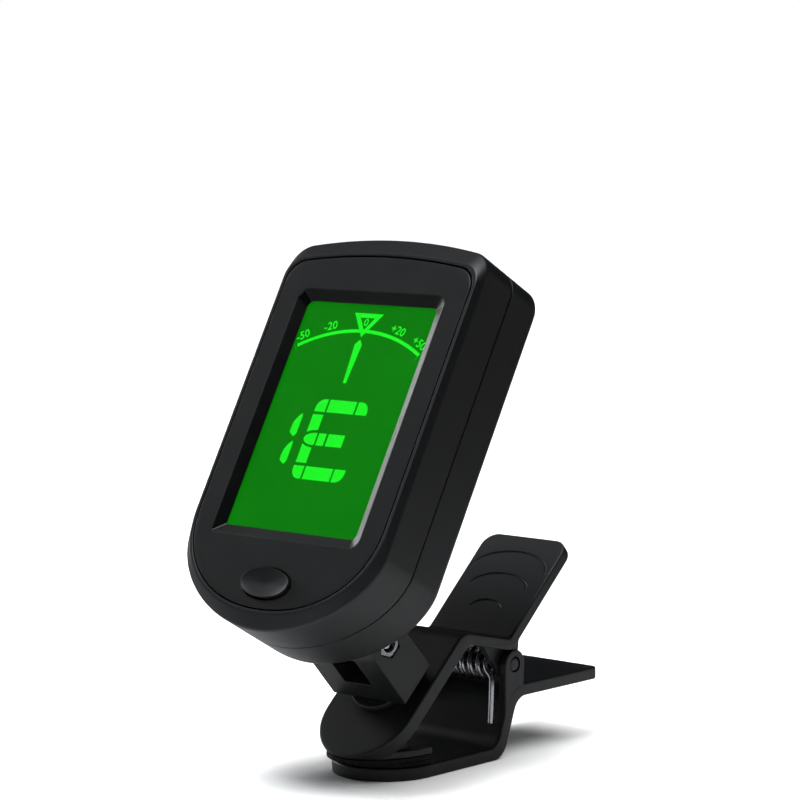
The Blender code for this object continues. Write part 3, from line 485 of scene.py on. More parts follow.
def display_green():
    """The lit display behind its graphics: an even green, faintly mottled."""
    look = Look("display_green")
    look.value("Base Color", (0.001, 0.02, 0.001, 1))
    look.value("Specular IOR Level", 0.15)
    look.value("Roughness", 0.25)
    look.value("Emission Strength", 1.0)
    uneven = look.ranged(look.noise(9.0, 2.0), 0.3, 0.7, 0.0, 1.0)
    look.link(look.mix(uneven, (0.0010, 0.195, 0.0008), (0.0016, 0.215, 0.0014)),
              look.shader.inputs["Emission Color"])
    return look.material


def lit_segments():
    """Display graphics: bright green with a trace of the cell's fine texture."""
    look = Look("lit_segments")
    look.value("Base Color", (0.01, 0.1, 0.01, 1))
    look.value("Roughness", 0.4)
    look.value("Emission Strength", 1.0)
    fine = look.ranged(look.noise(0.25, 2.0), 0.3, 0.7, 0.0, 1.0)
    look.link(look.mix(fine, (0.0, 0.86, 0.004), (0.0, 1.0, 0.008)), look.shader.inputs["Emission Color"])
    return look.material


def clear_plastic():
    """Clear acrylic window with the faintest haze and hairline scratches in its gloss."""
    look = Look("clear_plastic")
    look.value("Base Color", (1, 1, 1, 1))
    look.value("Transmission Weight", 1.0)
    look.value("IOR", 1.49)
    look.value("Roughness", 0.02)
    look.bump(look.noise(3.0, 2.0), 0.001, 0.3)
    return look.material


def board():
    """Green solder mask over faint copper tracks."""
    look = Look("board")
    tracks = look.node("TexBrick")
    tracks.inputs["Scale"].default_value = 240
    tracks.inputs["Mortar Size"].default_value = 0.06
    look.link(look.place, tracks.inputs["Vector"])
    look.link(look.mix(tracks.outputs["Fac"], (0.012, 0.11, 0.04), (0.02, 0.17, 0.06)),
              look.shader.inputs["Base Color"])
    look.link(look.ranged(look.noise(1.0), 0.3, 0.7, 0.3, 0.5), look.shader.inputs["Roughness"])
    look.bump(tracks.outputs["Fac"], 0.02)
    return look.material


def speckled(name, color, other, size, roughness):
    """Small moulded or fired parts: two tones in fine speckle."""
    look = Look(name)
    look.link(look.mix(look.ranged(look.noise(size, 4.0), 0.4, 0.6, 0, 1), color, other),
              look.shader.inputs["Base Color"])
    look.link(look.ranged(look.noise(size * 2), 0.3, 0.7, roughness - 0.06, roughness + 0.08),
              look.shader.inputs["Roughness"])
    look.bump(look.noise(size, 3.0), 0.01)
    return look.material


SHELL = plastic("shell_plastic", (0.0135, 0.0140, 0.0150), 0.40)
FACE = plastic("face_plastic", (0.0150, 0.0150, 0.0155), 0.36, grain=0.12, depth=0.004, edge_wear_and_sheen=0.25)
CLIP = plastic("clip_plastic", (0.0150, 0.0160, 0.0175), 0.44, grain=0.2, depth=0.008)
BUTTON = plastic("button_plastic", (0.0125, 0.0127, 0.0132), 0.4, grain=0.1, depth=0.003, edge_wear_and_sheen=0.1)
# The neck's plastic is painted darker than the clip's: painted shade for the shadow under the head.
NECK_PAINTED_SHADE = plastic("neck_plastic_painted_shade", (0.0075, 0.0080, 0.0088), 0.42, grain=0.2, depth=0.008, edge_wear_and_sheen=0.25)
# Near-black plastic for the window's left wall alone: painted shade on the side turned away from the left
# lamp.
LEFT_WALL_PAINTED_SHADE = plastic("window_left_wall_painted_shade", (0.0030, 0.0032, 0.0034), 0.2, grain=0.1, depth=0.001, edge_wear_and_sheen=0.0,
                specular=0.2)
RUBBER = rubber("pad_rubber", (0.010, 0.010, 0.011))
STEEL = metal("spring_steel", (0.50, 0.50, 0.52), 0.22)
PLATED = metal("plated_steel", (0.62, 0.63, 0.66), 0.24)
DARK_STEEL = metal("nut_steel", (0.30, 0.30, 0.31), 0.2)
OXIDE = metal("black_oxide_steel", (0.055, 0.055, 0.058), 0.34)
BRASS = metal("contact_brass", (0.72, 0.52, 0.20), 0.3)
LENS = clear_plastic()
DISPLAY, SEGMENTS = display_green(), lit_segments()
NODE_LOOKS = {
    STEEL: ("hinge_washer_left", "hinge_washer_right"),
    OXIDE: ("swivel_washer", "swivel_screw"),
    PLATED: ("coin_cell", "quartz_crystal", "tact_switch"),
    BRASS: ("battery_contact_negative", "battery_contact_positive", "piezo_sensor"),
    board(): ("circuit_board",),
    speckled("chip_epoxy", (0.012, 0.012, 0.013), (0.022, 0.022, 0.024), 0.3, 0.5):
        ("tuner_chip", "tact_plunger"),
    speckled("zebra_rubber_strip", (0.40, 0.37, 0.35), (0.2, 0.19, 0.18), 0.1, 0.7):
        ("zebra_strip_upper", "zebra_strip_lower"),
    speckled("led_resin", (0.80, 0.85, 0.70), (0.74, 0.78, 0.60), 0.5, 0.3):
        ("backlight_led_left", "backlight_led_right"),
    speckled("capacitor_ceramic", (0.55, 0.38, 0.22), (0.48, 0.32, 0.18), 0.2, 0.5):
        ("capacitor_left", "capacitor_right"),
    speckled("diffuser_acrylic", (0.35, 0.85, 0.35), (0.30, 0.78, 0.30), 0.6, 0.4): ("backlight_panel",),
}


# ---- Clip ----------------------------------------------------------------------------------------
def pin_frame(outline):
    """(y, z) points given from the pivot pin's centre."""
    return [(y - PIN[0], z - PIN[1]) for y, z in outline]


def build_lower_jaw():
    """One bent strip: the floor, a steep riser and the rear thumb tab, with two ears for the pin."""
    front, foot, rise, end = (JAW_FRONT_Y, 0), (15.25, 0), (18.25, 7.68), (35.6, 7.68)
    under = [front, foot, rise, end]
    top = offset_path(under, (1.7, 1.85, 1.65), 1)
    jaw = solid("lower_jaw_moulding", bent_plate(strip_plan(1.3), rounded_path(under, (2.6, 2.4)),
                                                 rounded_path(top, (2.4, 3.2)), 1.7, 0.28))
    ear = arc(PIN, 1.95, 0, 180, 28) + [(PIN[0] - 1.95, 4.6), (PIN[0], 6.6), (PIN[0] + 1.95, 8.3)]
    for side in (1, -1):
        low, high = sorted(side * x for x in OUTER_EARS)
        join(jaw, side_plate(ear, low, high, 0.16))
    cut(jaw, moved(along_x(turned([(PIN_BORE, -10), (PIN_BORE, 10)])), 0, *PIN))
    finish(jaw, CLIP, "clip_lower", "black_clip", "lower_jaw")


def half_ellipse(reach):
    """The foot's and its pad's outline: as wide as the clip, straight at the back."""
    return [(x * CLIP_HALF_WIDTH, FOOT_BACK_Y + y * reach) for x, y in arc((0, 0), 1, 180, 360, 64)]


def build_upper_jaw():
    """One bent strip: the ramp, the deck and the thumb tab, with a foot, a fillet and two inner ears."""
    nose = on_ramp(-7.42, 0)
    valley = (16.46, 15.6)
    tab_end = (valley[0] + TAB_LENGTH * math.cos(TAB_ANGLE), valley[1] + TAB_LENGTH * math.sin(TAB_ANGLE))
    top = [nose, (7.12, 17.71), valley, tab_end]
    under = offset_path(top, (2.1, 1.45, 1.6), -1)
    jaw = solid("upper_jaw_moulding", bent_plate(strip_plan(2.2), rounded_path(under, (1.6, 1.6)),
                                                 rounded_path(top, (2.6, 0.8)), 2.1, 0.3))
    foot = solid("foot", plate(half_ellipse(FOOT_REACH), *FOOT, 0.1))
    cut(foot, box((-9, 9), (-20, 20), (-0.15, 20)), RAMP_FRAME)
    join_object(jaw, foot)
    cut(jaw, box((-9, 9), (-15, 3), (-2, FOOT[0])))
    inner = Vector((-4.9, 3.86))
    fillet = rounded_path([inner + Vector((4.3, 0)), inner, inner + Vector((3.17, 2.9))], (1.5,), 10)
    join(jaw, side_plate([tuple(p) for p in fillet] + [(-5.6, 3.7)], -5.4, 5.4))
    gusset = arc((0, 0), 2.05, 205, 345, 28) + pin_frame([(PIN[0] + 2.6, PIN[1] + 4.9),
                                                          (valley[0], valley[1] - 0.5), (11.6, 16.1)])
    for side in (1, -1):
        low, high = sorted(side * x for x in INNER_EARS)
        join(jaw, side_plate(gusset, low, high, 0.1), AT_PIN)
    cut(jaw, along_x(turned([(PIN_BORE, -10), (PIN_BORE, 10)])), AT_PIN)
    cut(jaw, turned([(SWIVEL_BORE, -6), (SWIVEL_BORE, 3)]), SWIVEL)
    tab = (Matrix.Translation((0, *valley)) @ Matrix.Rotation(TAB_ANGLE, 4, 'X'))
    for half, sill, rise in ((6.2, 11.0, 3.1), (4.7, 8.0, 2.3), (2.5, 4.4, 1.3)):
        path = [(half * math.sin(math.radians(a)), sill + rise * math.cos(math.radians(a)), 0.02)
                for a in range(-90, 91, 4)]
        cut(jaw, tube(path, 0.2, 8), tab)
    finish(jaw, CLIP, "clip_upper", "black_clip", "upper_jaw")


def build_pads():
    """Rubber pads with fine ribs across their gripping faces."""
    reach = CLIP_HALF_WIDTH - 0.2
    lower = (arc((0, JAW_FRONT_Y + CLIP_HALF_WIDTH), reach, 180, 360, 40)
             + [(reach, FOOT_BACK_Y), (-reach, FOOT_BACK_Y)])
    pad = solid("lower_pad_rubber", plate(lower, *LOWER_PAD, 0.1))
    other = solid("upper_pad_rubber", plate(half_ellipse(UPPER_PAD_REACH), *UPPER_PAD, 0.1))
    for i in range(8):
        y = -5.2 + 0.75 * i
        rib = box((-5.2, 5.2), (y, y + 0.25), (-0.12, 0.12))
        cut(pad, moved(rib.copy(), z=LOWER_PAD[1]))
        cut(other, moved(rib, z=UPPER_PAD[0]))
    finish(pad, RUBBER, "clip_lower", "black_rubber", "lower_pad")
    finish(other, RUBBER, "clip_upper", "black_rubber", "upper_pad")


def build_pin_and_spring():
    """The pin, and one wire: a straight leg down the riser, six turns, and a leg under the deck."""
    half = CLIP_HALF_WIDTH - 0.1
    pin = turned([(0.4, -half), (PIN_RADIUS, -half), (PIN_RADIUS, half), (0.4, half)], 48, (0, 0.2, 0.2, 0))
    finish(solid("pivot_pin_steel", along_x(pin), AT_PIN), OXIDE, "clip_lower", "bright_steel", "pivot_pin")

    hang_y, hang_z, radius, half, turns = -0.55, -0.25, 1.9, 4.1, 6
    steps = turns * 36
    front = hang_y - radius
    path = [(5.3, front - 0.5, -7.5), (5.3, front - 0.42, -6), (5.3, front - 0.34, -4.4),
            (5.3, front - 0.27, -2.9), (5.3, front - 0.22, -2.0), (5.22, front - 0.19, -1.6),
            (4.95, front - 0.14, -1.2), (4.55, front - 0.08, -0.9), (4.25, front - 0.03, -0.6)]
    for i in range(steps + 1):
        turn = math.pi - 2 * math.pi * turns * i / steps
        path.append((half - 2 * half * i / steps, hang_y + radius * math.cos(turn),
                     hang_z + radius * math.sin(turn)))
    path += [(-half, -2.55, 0.2), (-half, -2.95, 0.7), (-half, -4.0, 1.3), (-half, -5.2, 1.8),
             (-half, -6.4, 2.3), (-half, -7.6, 2.6)]
    spring = solid("torsion_spring_wire", tube(path, WIRE_RADIUS), AT_PIN)
    spring.data.materials.append(STEEL)
    spring.data.shade_smooth()
    spring.data.set_sharp_from_angle(angle=math.radians(60))
    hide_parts("torsion_spring", "torsion_spring_upper_leg")
    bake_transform(spring)


# ---- Neck ----------------------------------------------------------------------------------------
def cross_recess(obj, depth, top, half, width, place):
    """Cut a screwdriver's cross into a screw's head."""
    for a, b in ((width, half), (half, width)):
        cut(obj, box((-a, a), (-b, b), (top - depth, top + 1)), place)


def build_neck():
    """The turntable on the ramp, the fork on it, and the hinge's nut and screw."""
    base = solid("swivel_base_ring", turned([(3.0, GAP), (4.5, GAP), (4.5, 0.95), (3.9, 0.95)], 96,
                                            (0, 0.12, 0.22, 0)), SWIVEL)
    cut(base, turned([(SWIVEL_BORE, -1), (SWIVEL_BORE, 3)]), SWIVEL)
    finish(base, CLIP, "clip_upper", "black_clip", "swivel_base")

    depth, half = NECK_HALF_DEPTH, NECK_HALF_WIDTH
    side = ([(-depth, 1.15), (depth, 1.15)] + arc((0, TILT_HEIGHT), depth, 0, 180, 48))
    fork = solid("neck_fork_moulding", side_plate(side, -half, half, 0.35), SWIVEL)
    cut(fork, box((-2.3, 2.3), (-depth - 1, depth + 1), (4.2, 20)), SWIVEL)
    across = SWIVEL @ Matrix.Translation((0, 0, TILT_HEIGHT))
    cut(fork, along_x(turned([(HINGE_BORE, -9), (HINGE_BORE, 9)])), across)
    flats = (NUT_FLATS + 2 * GAP) / math.sqrt(3)
    cut(fork, side_plate(ellipse(flats, flats, (0, 0), 6), half - 1.6, half + 1), across)
    cut(fork, along_x(turned([(1.75, -half - 1), (1.75, -half + 1.3)])), across)
    cut(fork, turned([(1.1, 0), (1.1, 3.5)]), SWIVEL)
    # The fork takes the darker plastic painted with the head's shade.
    finish(fork, NECK_PAINTED_SHADE, "neck", "black_clip", "neck_fork", bevel=0.08)

    radius = NUT_FLATS / math.sqrt(3)
    hexagon = side_plate(ellipse(radius, radius, (0, 0), 6), half - 1.42, half - 0.12)
    nut = solid("tilt_nut_steel", hexagon, across)
    boolean(nut, along_x(turned([(1.6, half - 1.6), (1.9, half - 1.3), (1.9, half - 0.3), (1.5, half)])),
            'INTERSECT', across)
    thread = turned([(1.0, half - 3), (1.0, half - 0.32), (1.2, half - 0.1), (1.2, half + 1)])
    cut(nut, along_x(thread), across)
    finish(nut, DARK_STEEL, "neck", "bright_steel", "tilt_nut")

    screw = solid("tilt_screw_steel", along_x(turned(
        [(1.0, -half + 0.15), (1.6, -half + 0.15), (1.6, -half + 1.2), (0.8, -half + 1.21),
         (0.8, half - 0.5), (0.5, half - 0.5)], 48, (0, 0.3, 0.05, 0, 0.15, 0))), across)
    turn = across @ Matrix.Translation((-half + 0.15, 0, 0)) @ Matrix.Rotation(math.radians(-90), 4, 'Y')
    cross_recess(screw, 0.55, 0, 1.0, 0.18, turn)
    finish(screw, PLATED, "neck", "bright_steel", "tilt_screw")


# ---- Head ----------------------------------------------------------------------------------------
def head_outline(half_width, top, bottom, corner, depth, shape):
    """The head's outline at one depth: arched top, straight sides, superellipse bottom."""
    round_start, power, arch = shape
    points = []
    for i in range(97):
        turn = math.pi + math.pi * i / 96
        c, s = math.cos(turn), math.sin(turn)
        x = half_width * math.copysign(abs(c) ** (2 / power), c)
        y = -round_start - (bottom - round_start) * abs(s) ** (2 / power)
        points.append((x, y, -depth))
    steepest = math.radians(CORNER_SWEEP)
    arch_end = half_width - corner + corner * math.cos(steepest)
    side_top = top - arch * (arch_end / half_width) ** 2 - corner * math.sin(steepest)
    corner_arc = arc((half_width - corner, side_top), corner, 0, CORNER_SWEEP, 20)
    points += [(x, y, -depth) for x, y in corner_arc]
    for i in range(1, 32):
        x = arch_end * (1 - i / 16)
        points.append((x, top - arch * (x / half_width) ** 2, -depth))
    points += [(-x, y, -depth) for x, y in corner_arc[::-1]]
    return points


def outer(inwards, depth, corner=3.5):
    """The case's outline, drawn in by a distance."""
    return head_outline(HEAD_HALF_WIDTH - inwards, HEAD_TOP - inwards, HEAD_BOTTOM - inwards, corner, depth,
                        HEAD_SHAPE)


def inlay(grow, depth, corner=3.0):
    """The face plate's outline, grown by a distance."""
    return head_outline(FACE_HALF_WIDTH + grow, FACE_TOP + grow, FACE_BOTTOM + grow, corner, depth,
                        FACE_SHAPE)


def build_front_shell():
    """The case's front: a frame around the face plate, with bosses for the case screws."""
    rings = [inlay(GROOVE, 1.1), inlay(GROOVE, 0.0), inlay(GROOVE + 0.45, 0.0), outer(0, BEVEL_DEPTH),
             outer(0, PARTING_DEPTH - 0.06), outer(0.12, PARTING_DEPTH), outer(WALL, PARTING_DEPTH),
             outer(WALL, 2.0), inlay(-2.2, 2.0), inlay(-2.2, 1.1)]
    rounding = (0, 0.12, 0.14, 0.3, 0.06, 0.05, 0, 0, 0, 0)
    shell = solid("front_shell_moulding", loft(soften(rings, rounding, 4, True), closed=True), HEAD)
    flange = BUTTON_FLANGE + BUTTON_GAP
    seat = ellipse(BUTTON_HALF[0] + flange, BUTTON_HALF[1] + flange, (0, BUTTON_Y))
    cut(shell, plate(seat, -3, -0.9), HEAD)
    for x, y in SCREW_SPOTS:
        wall = math.copysign(HEAD_HALF_WIDTH - WALL / 2 - (0.9 if y < 0 else 0), x)
        join(shell, box(sorted((x, wall)), (y - 0.9, y + 0.9), (-6.2, -3.2)), HEAD)
        join(shell, moved(turned([(SCREW_BOSS, -6.3), (SCREW_BOSS, -3.1)], 32), x, y), HEAD)
        cut(shell, moved(turned([(SCREW_BORE, -7), (SCREW_BORE, -3.8)], 24), x, y), HEAD)
    finish(shell, SHELL, "head", "black_shell", "front_shell", angle=30)


def build_face_plate():
    """The face: a thin inlay with the display's sloping window, its left wall glossier and painted darker as
    shade, and a button hole.
    """
    rings = [inlay(-0.5, 0.0), inlay(0.1, 0.0), inlay(0.1, FACE_THICKNESS), inlay(-0.3, FACE_THICKNESS)]
    face = solid("face_plate_inlay", loft(soften(rings, (0, 0.1, 0, 0))), HEAD)
    w, h = WINDOW
    slope = WINDOW_SLOPE
    foot, rim = (0.6, 1.0, 0.2, 0.8), (1.3, 1.6, 0.25, 1.5)
    mouths = [(w, h, foot, 1.2), (w, h, foot, FACE_THICKNESS), (w + slope, h + slope, rim, 0.0),
              (w + slope + 0.8, h + slope + 0.8, rim, -0.03), (w + slope + 0.8, h + slope + 0.8, rim, -1.0)]
    flare = [[(x, y, -depth) for x, y in rounded_rectangle(a, b, r)] for a, b, r, depth in mouths]
    cut(face, loft(soften(flare, (0, 0.1, 0.2, 0, 0))), HEAD)
    a, b = BUTTON_HALF[0] + BUTTON_GAP, BUTTON_HALF[1] + BUTTON_GAP
    hole = [[(x, y, -depth) for x, y in ellipse(a + grow, b + grow, (0, BUTTON_Y), 96)]
            for grow, depth in ((0, 3), (0, 0), (0.5, -0.02), (0.5, -1))]
    cut(face, loft(soften(hole, (0, 0.14, 0, 0))), HEAD)
    finish(face, FACE, "head", "black_face", "face_plate", angle=30)
    # The window's left-wall polygons take the near-black plastic: painted shade.
    face.data.materials.append(LEFT_WALL_PAINTED_SHADE)
    into_head = (Matrix.Scale(MM, 4) @ HEAD).inverted()
    for polygon in face.data.polygons:
        at = into_head @ polygon.center
        past_left, past_bottom = -w - at.x, -h - at.y
        if -0.2 < past_left < slope and past_bottom < past_left + 0.12 and at.y < h + 0.5 and at.z < -0.03:
            polygon.material_index = 1


def build_display():
    """The clear window and the lit panel behind it."""
    lens = plate(rounded_rectangle(11.6, 16.5, 0.5), -LENS_DEPTHS[1], -LENS_DEPTHS[0], 0.05, 2)
    finish(solid("display_lens", lens, HEAD), LENS, "head", "clear_lens", "lcd_lens")
    panel = plate(rounded_rectangle(11.9, 17.2, 0.5), -DISPLAY_DEPTHS[1], -DISPLAY_DEPTHS[0], 0.08, 2)
    finish(solid("display_panel", panel, HEAD), DISPLAY, "head", "lcd_green", "lcd_panel")


def graphic(bm, outline):
    """Add one flat shape, given anticlockwise, to the display's graphics."""
    rings = [[bm.verts.new((x + GRAPHICS_X, y, z)) for x, y in outline] for z in (-1.365, -1.345)]
    for i in range(len(outline)):
        j = (i + 1) % len(outline)
        bm.faces.new((rings[0][i], rings[0][j], rings[1][j], rings[1][i]))
    bm.faces.new(rings[0])
    bm.faces.new(rings[1])


def bar(bm, x, y, round_corner=None, radius=1.3):
    """A display segment: a rectangle with one corner rounded, counted anticlockwise from lower left."""
    corners = [(x[0], y[0]), (x[1], y[0]), (x[1], y[1]), (x[0], y[1])]
    outline = []
    for number, (cx, cy) in enumerate(corners):
        if number != round_corner:
            outline.append((cx, cy))
            continue
        middle = (cx + radius * (1 if cx == x[0] else -1), cy + radius * (1 if cy == y[0] else -1))
        outline += arc(middle, radius, 180 + 90 * number, 270 + 90 * number, 12)
    graphic(bm, outline)


def numerals(bm, text, centre, size, turn=0.0):
    """Plain numerals for the tuning scale."""
    curve = bpy.data.curves.new("numerals", 'FONT')
    curve.body, curve.size, curve.extrude, curve.offset = text, size, 0.01, 0.025
    curve.align_x, curve.align_y = 'CENTER', 'CENTER'
    curve.resolution_u = 3
    holder = bpy.data.objects.new("numerals", curve)
    bpy.context.scene.collection.objects.link(holder)
    bpy.context.view_layer.update()
    mesh = bpy.data.meshes.new_from_object(holder.evaluated_get(bpy.context.evaluated_depsgraph_get()))
    mesh.transform(Matrix.Translation((centre[0] + GRAPHICS_X, centre[1], -1.355))
                   @ Matrix.Rotation(math.radians(turn), 4, 'Z'))
    bm.from_mesh(mesh)
    bpy.data.objects.remove(holder, do_unlink=True)
    bpy.data.curves.remove(curve)
    bpy.data.meshes.remove(mesh)


def build_graphics():
    """What the display shows: a tuning scale, its needle, a segmented 1 and a segmented note letter E."""
    bm = bmesh.new()
    centre, radius, half = (0.0, -9.05), 21.1, 0.235
    sweep = 29.4
    graphic(bm, arc(centre, radius + half, 90 - sweep, 90 + sweep - 0.8, 60)
            + arc(centre, radius - half, 90 + sweep - 0.8, 90 - sweep, 60))
    edge = math.radians(90 - sweep)
    for side in (1, -1):
        hook = [(centre[0] + side * (r * math.cos(edge) + dx), centre[1] + r * math.sin(edge) + dy)
                for r, dx, dy in ((radius + half, 0, 0), (radius - half, 0, 0), (radius - half, -0.38, -0.55),
                                  (radius + half, -0.42, -0.72))]
        graphic(bm, hook[::-side])
    pointer = [(-2.45, 14.52), (0, 11.2), (2.45, 14.52)]
    hollow = [(-1.18, 13.88), (0, 12.22), (1.18, 13.88)]
    for i in range(3):
        j = (i + 1) % 3
        graphic(bm, [pointer[i], pointer[j], hollow[j], hollow[i]])
    graphic(bm, [(-0.26, 4.83), (0.26, 4.83), (0.6, 10.2), (0, 10.9), (-0.6, 10.2)])
    for text, turn in (("-50", 26.0), ("-20", 14.7), ("+20", -14.7), ("+50", -26.0)):
        away = math.radians(90 + turn)
        numerals(bm, text, (22.2 * math.cos(away), centre[1] + 22.2 * math.sin(away)), 1.6, turn)
    numerals(bm, "0", (0, 13.22), 1.45)

    top, middle, bottom = (0.73, 2.47), (-3.8, -2.13), (-8.4, -6.65)
    bar(bm, (-3.25, -1.5), top, 3)
    bar(bm, (-1.2, 3.25), top)
    bar(bm, (3.55, 5.4), top, 2)
    bar(bm, (-3.3, -1.55), bottom, 0)
    bar(bm, (-1.25, 3.3), bottom)
    bar(bm, (3.55, 5.35), bottom, 1)
    bar(bm, (-1.05, 0.2), middle)
    bar(bm, (0.55, 3.25), middle)
    graphic(bm, [(-1.35, -3.8), (-1.35, -2.13)] + [(x, y) for x, y in
            ((-1.6 + 1.75 * math.cos(math.radians(a)), -2.965 + 0.835 * math.sin(math.radians(a)))
             for a in range(90, 271, 10))])
    graphic(bm, [(-3.25, 0.35), (-3.25, -2.1), (-2.5, -1.85), (-1.5, -1.72), (-1.5, 0.35)])
    graphic(bm, [(-3.25, -3.7), (-3.25, -6.25), (-1.5, -6.25), (-1.5, -4.15), (-2.5, -4.0)])
    for low, high in ((-2.9, 0.35), (-6.7, -3.45)):
        graphic(bm, [(-5.2, low), (-4.85, low + 0.45), (-4.85, high - 0.4), (-5.0, high), (-5.5, high - 0.45),
                     (-5.95, high - 1.2), (-6.1, high - 2.1), (-6.02, low + 0.5)])
    finish(solid("display_graphics", bm, HEAD), SEGMENTS, "head", "lcd_green")


def build_button():
    """The oval button with its dished top and the flange that holds it in."""
    w, h = BUTTON_HALF
    wide, high = w + BUTTON_FLANGE, h + BUTTON_FLANGE
    rim, dish = 0.5, 0.75
    rings = [(wide, high, -2.1), (wide, high, -1.0), (w, h, -0.95), (w, h, rim)]
    rings += [(w * k, h * k, rim - dish * (1 - k) * (1 + k ** 3) / 1.4)
              for k in (0.94, 0.85, 0.7, 0.5, 0.3, 0.12)]
    radii = (0, 0.1, 0, 0.12, 0, 0, 0, 0, 0, 0)
    rings = [[(x, BUTTON_Y + y, z) for x, y in ellipse(a, b, (0, 0), 96)] for a, b, z in rings]
    button = solid("power_button_cap", loft(soften(rings, radii)), HEAD)
    join(button, moved(turned([(0.8, -2.25), (0.8, -2.0)], 24), y=BUTTON_Y), HEAD)
    finish(button, BUTTON, "button", "black_shell", "power_button", angle=50)


def build_back():
    """The case's back with the hinge lug, the cell's pocket and the screws' counterbores; and its door."""
    seam = PARTING_DEPTH + 0.1
    rings = [outer(0.3, seam), outer(0.0, seam + 0.04), outer(0, HEAD_DEPTH - 0.6), outer(0.6, HEAD_DEPTH),
             outer(2.0, HEAD_DEPTH)]
    rounding = (0, 0.08, 0.45, 0.45, 0)
    back = solid("back_shell_moulding", loft(soften(rings, rounding, 6)), HEAD)
    cut(back, loft([outer(WALL, PARTING_DEPTH - 1), outer(WALL, HEAD_DEPTH - BACK_FLOOR)]), HEAD)
    y, z = -WINDOW_FROM_HINGE[1], -WINDOW_FROM_HINGE[2]
    outline = [(y + 4.6, -HEAD_DEPTH + 0.4)] + arc((y, z), 2.9, 10, -190, 40) + [(y - 4.0, -HEAD_DEPTH + 0.4)]
    join(back, side_plate(outline[::-1], -HINGE_LUG, HINGE_LUG, 0.2), HEAD)
    bore = along_x(turned([(HINGE_BORE, -5), (HINGE_BORE, 5)]))
    cut(back, moved(bore, 0, y, z), HEAD)
    half = DOOR_HALF_WIDTH + GAP
    recess = HEAD_DEPTH - DOOR_THICKNESS - GAP
    opening = rounded_rectangle(half, DOOR_REACH + GAP, 0.8, (0, DOOR_BOTTOM + DOOR_REACH))
    cut(back, plate(opening, -HEAD_DEPTH - 2, -recess), HEAD)
    cut(back, moved(turned([(CELL_RADIUS + 0.4, -20), (CELL_RADIUS + 0.4, -5)], 96), y=CELL_Y), HEAD)
    for x, y in SCREW_SPOTS:
        join(back, moved(turned([(SCREW_BOSS, -HEAD_DEPTH + 1), (SCREW_BOSS, -6.55)], 32), x, y), HEAD)
        cut(back, moved(turned([(SCREW_BORE, -20), (SCREW_BORE, -5)], 24), x, y), HEAD)
        cut(back, moved(turned([(1.62, -14), (1.62, -HEAD_DEPTH + 0.07), (1.45, -HEAD_DEPTH + 0.24),
                                (1.45, -HEAD_DEPTH + 0.73)], 44), x, y), HEAD)
    finish(back, SHELL, "head", "black_shell", "back_shell", angle=30)

    door = solid("battery_door_cover", loft(soften(rings, rounding, 6)), HEAD)
    opening = rounded_rectangle(DOOR_HALF_WIDTH, DOOR_REACH, 0.7, (0, DOOR_BOTTOM + DOOR_REACH))
    boolean(door, plate(opening, -HEAD_DEPTH - 2, -HEAD_DEPTH + DOOR_THICKNESS), 'INTERSECT', HEAD)
    for i in range(3):
        y = DOOR_BOTTOM + 2.45 + 1.1 * i
        groove = moved(along_x(turned([(0.05, -4.5), (0.32, -4.2), (0.32, 4.2), (0.05, 4.5)], 24)),
                       0, y, -HEAD_DEPTH - 0.04)
        cut(door, groove, HEAD)
    finish(door, SHELL, "door", "black_shell", "battery_door", bevel=0.07, angle=30)


def build_case_screws():
    """Four cross-head screws, sunk in the back."""
    head = -HEAD_DEPTH + 0.65
    for number, (x, y) in enumerate(SCREW_SPOTS, 1):
        screw = turned([(0.8, head - 0.6), (SCREW_HEAD, head - 0.6), (SCREW_HEAD, head), (0.6, head + 0.01),
                        (0.6, -4.2), (0.3, -4.2)], 40, (0, 0.2, 0, 0, 0.1, 0))
        screw = solid(f"case_screw_{number}_steel", moved(screw, x, y), HEAD)
        flip = HEAD @ Matrix.Translation((x, y, head - 0.6)) @ Matrix.Rotation(math.pi, 4, 'X')
        cross_recess(screw, 0.35, 0, 0.85, 0.16, flip)
        finish(screw, PLATED, "head", "bright_steel", f"case_screw_{number}")


# ---- Studio --------------------------------------------------------------------------------------
FLOOR_RADIUS, TABLE_RADIUS = 4.0, 0.14      # metres


def area_light(name, place, target, size, power, color=(1, 1, 1)):
    """A soft rectangular lamp; places and sizes in metres."""
    light = bpy.data.lights.new(name, 'AREA')
    light.shape, light.size, light.size_y = 'RECTANGLE', size[0], size[1]
    light.energy, light.color = power, color
    holder = bpy.data.objects.new(name, light)
    bpy.context.scene.collection.objects.link(holder)
    holder.location = place
    holder.rotation_euler = (Vector(target) - Vector(place)).to_track_quat('-Z', 'Y').to_euler()


def paper(name, dark, pale):
    """Matt paper, faintly uneven."""
    look = Look(name)
    look.value("Roughness", 0.9)
    look.link(look.mix(look.ranged(look.noise(40, 2.0), 0.3, 0.7, 0, 1), dark, pale),
              look.shader.inputs["Base Color"])
    return look


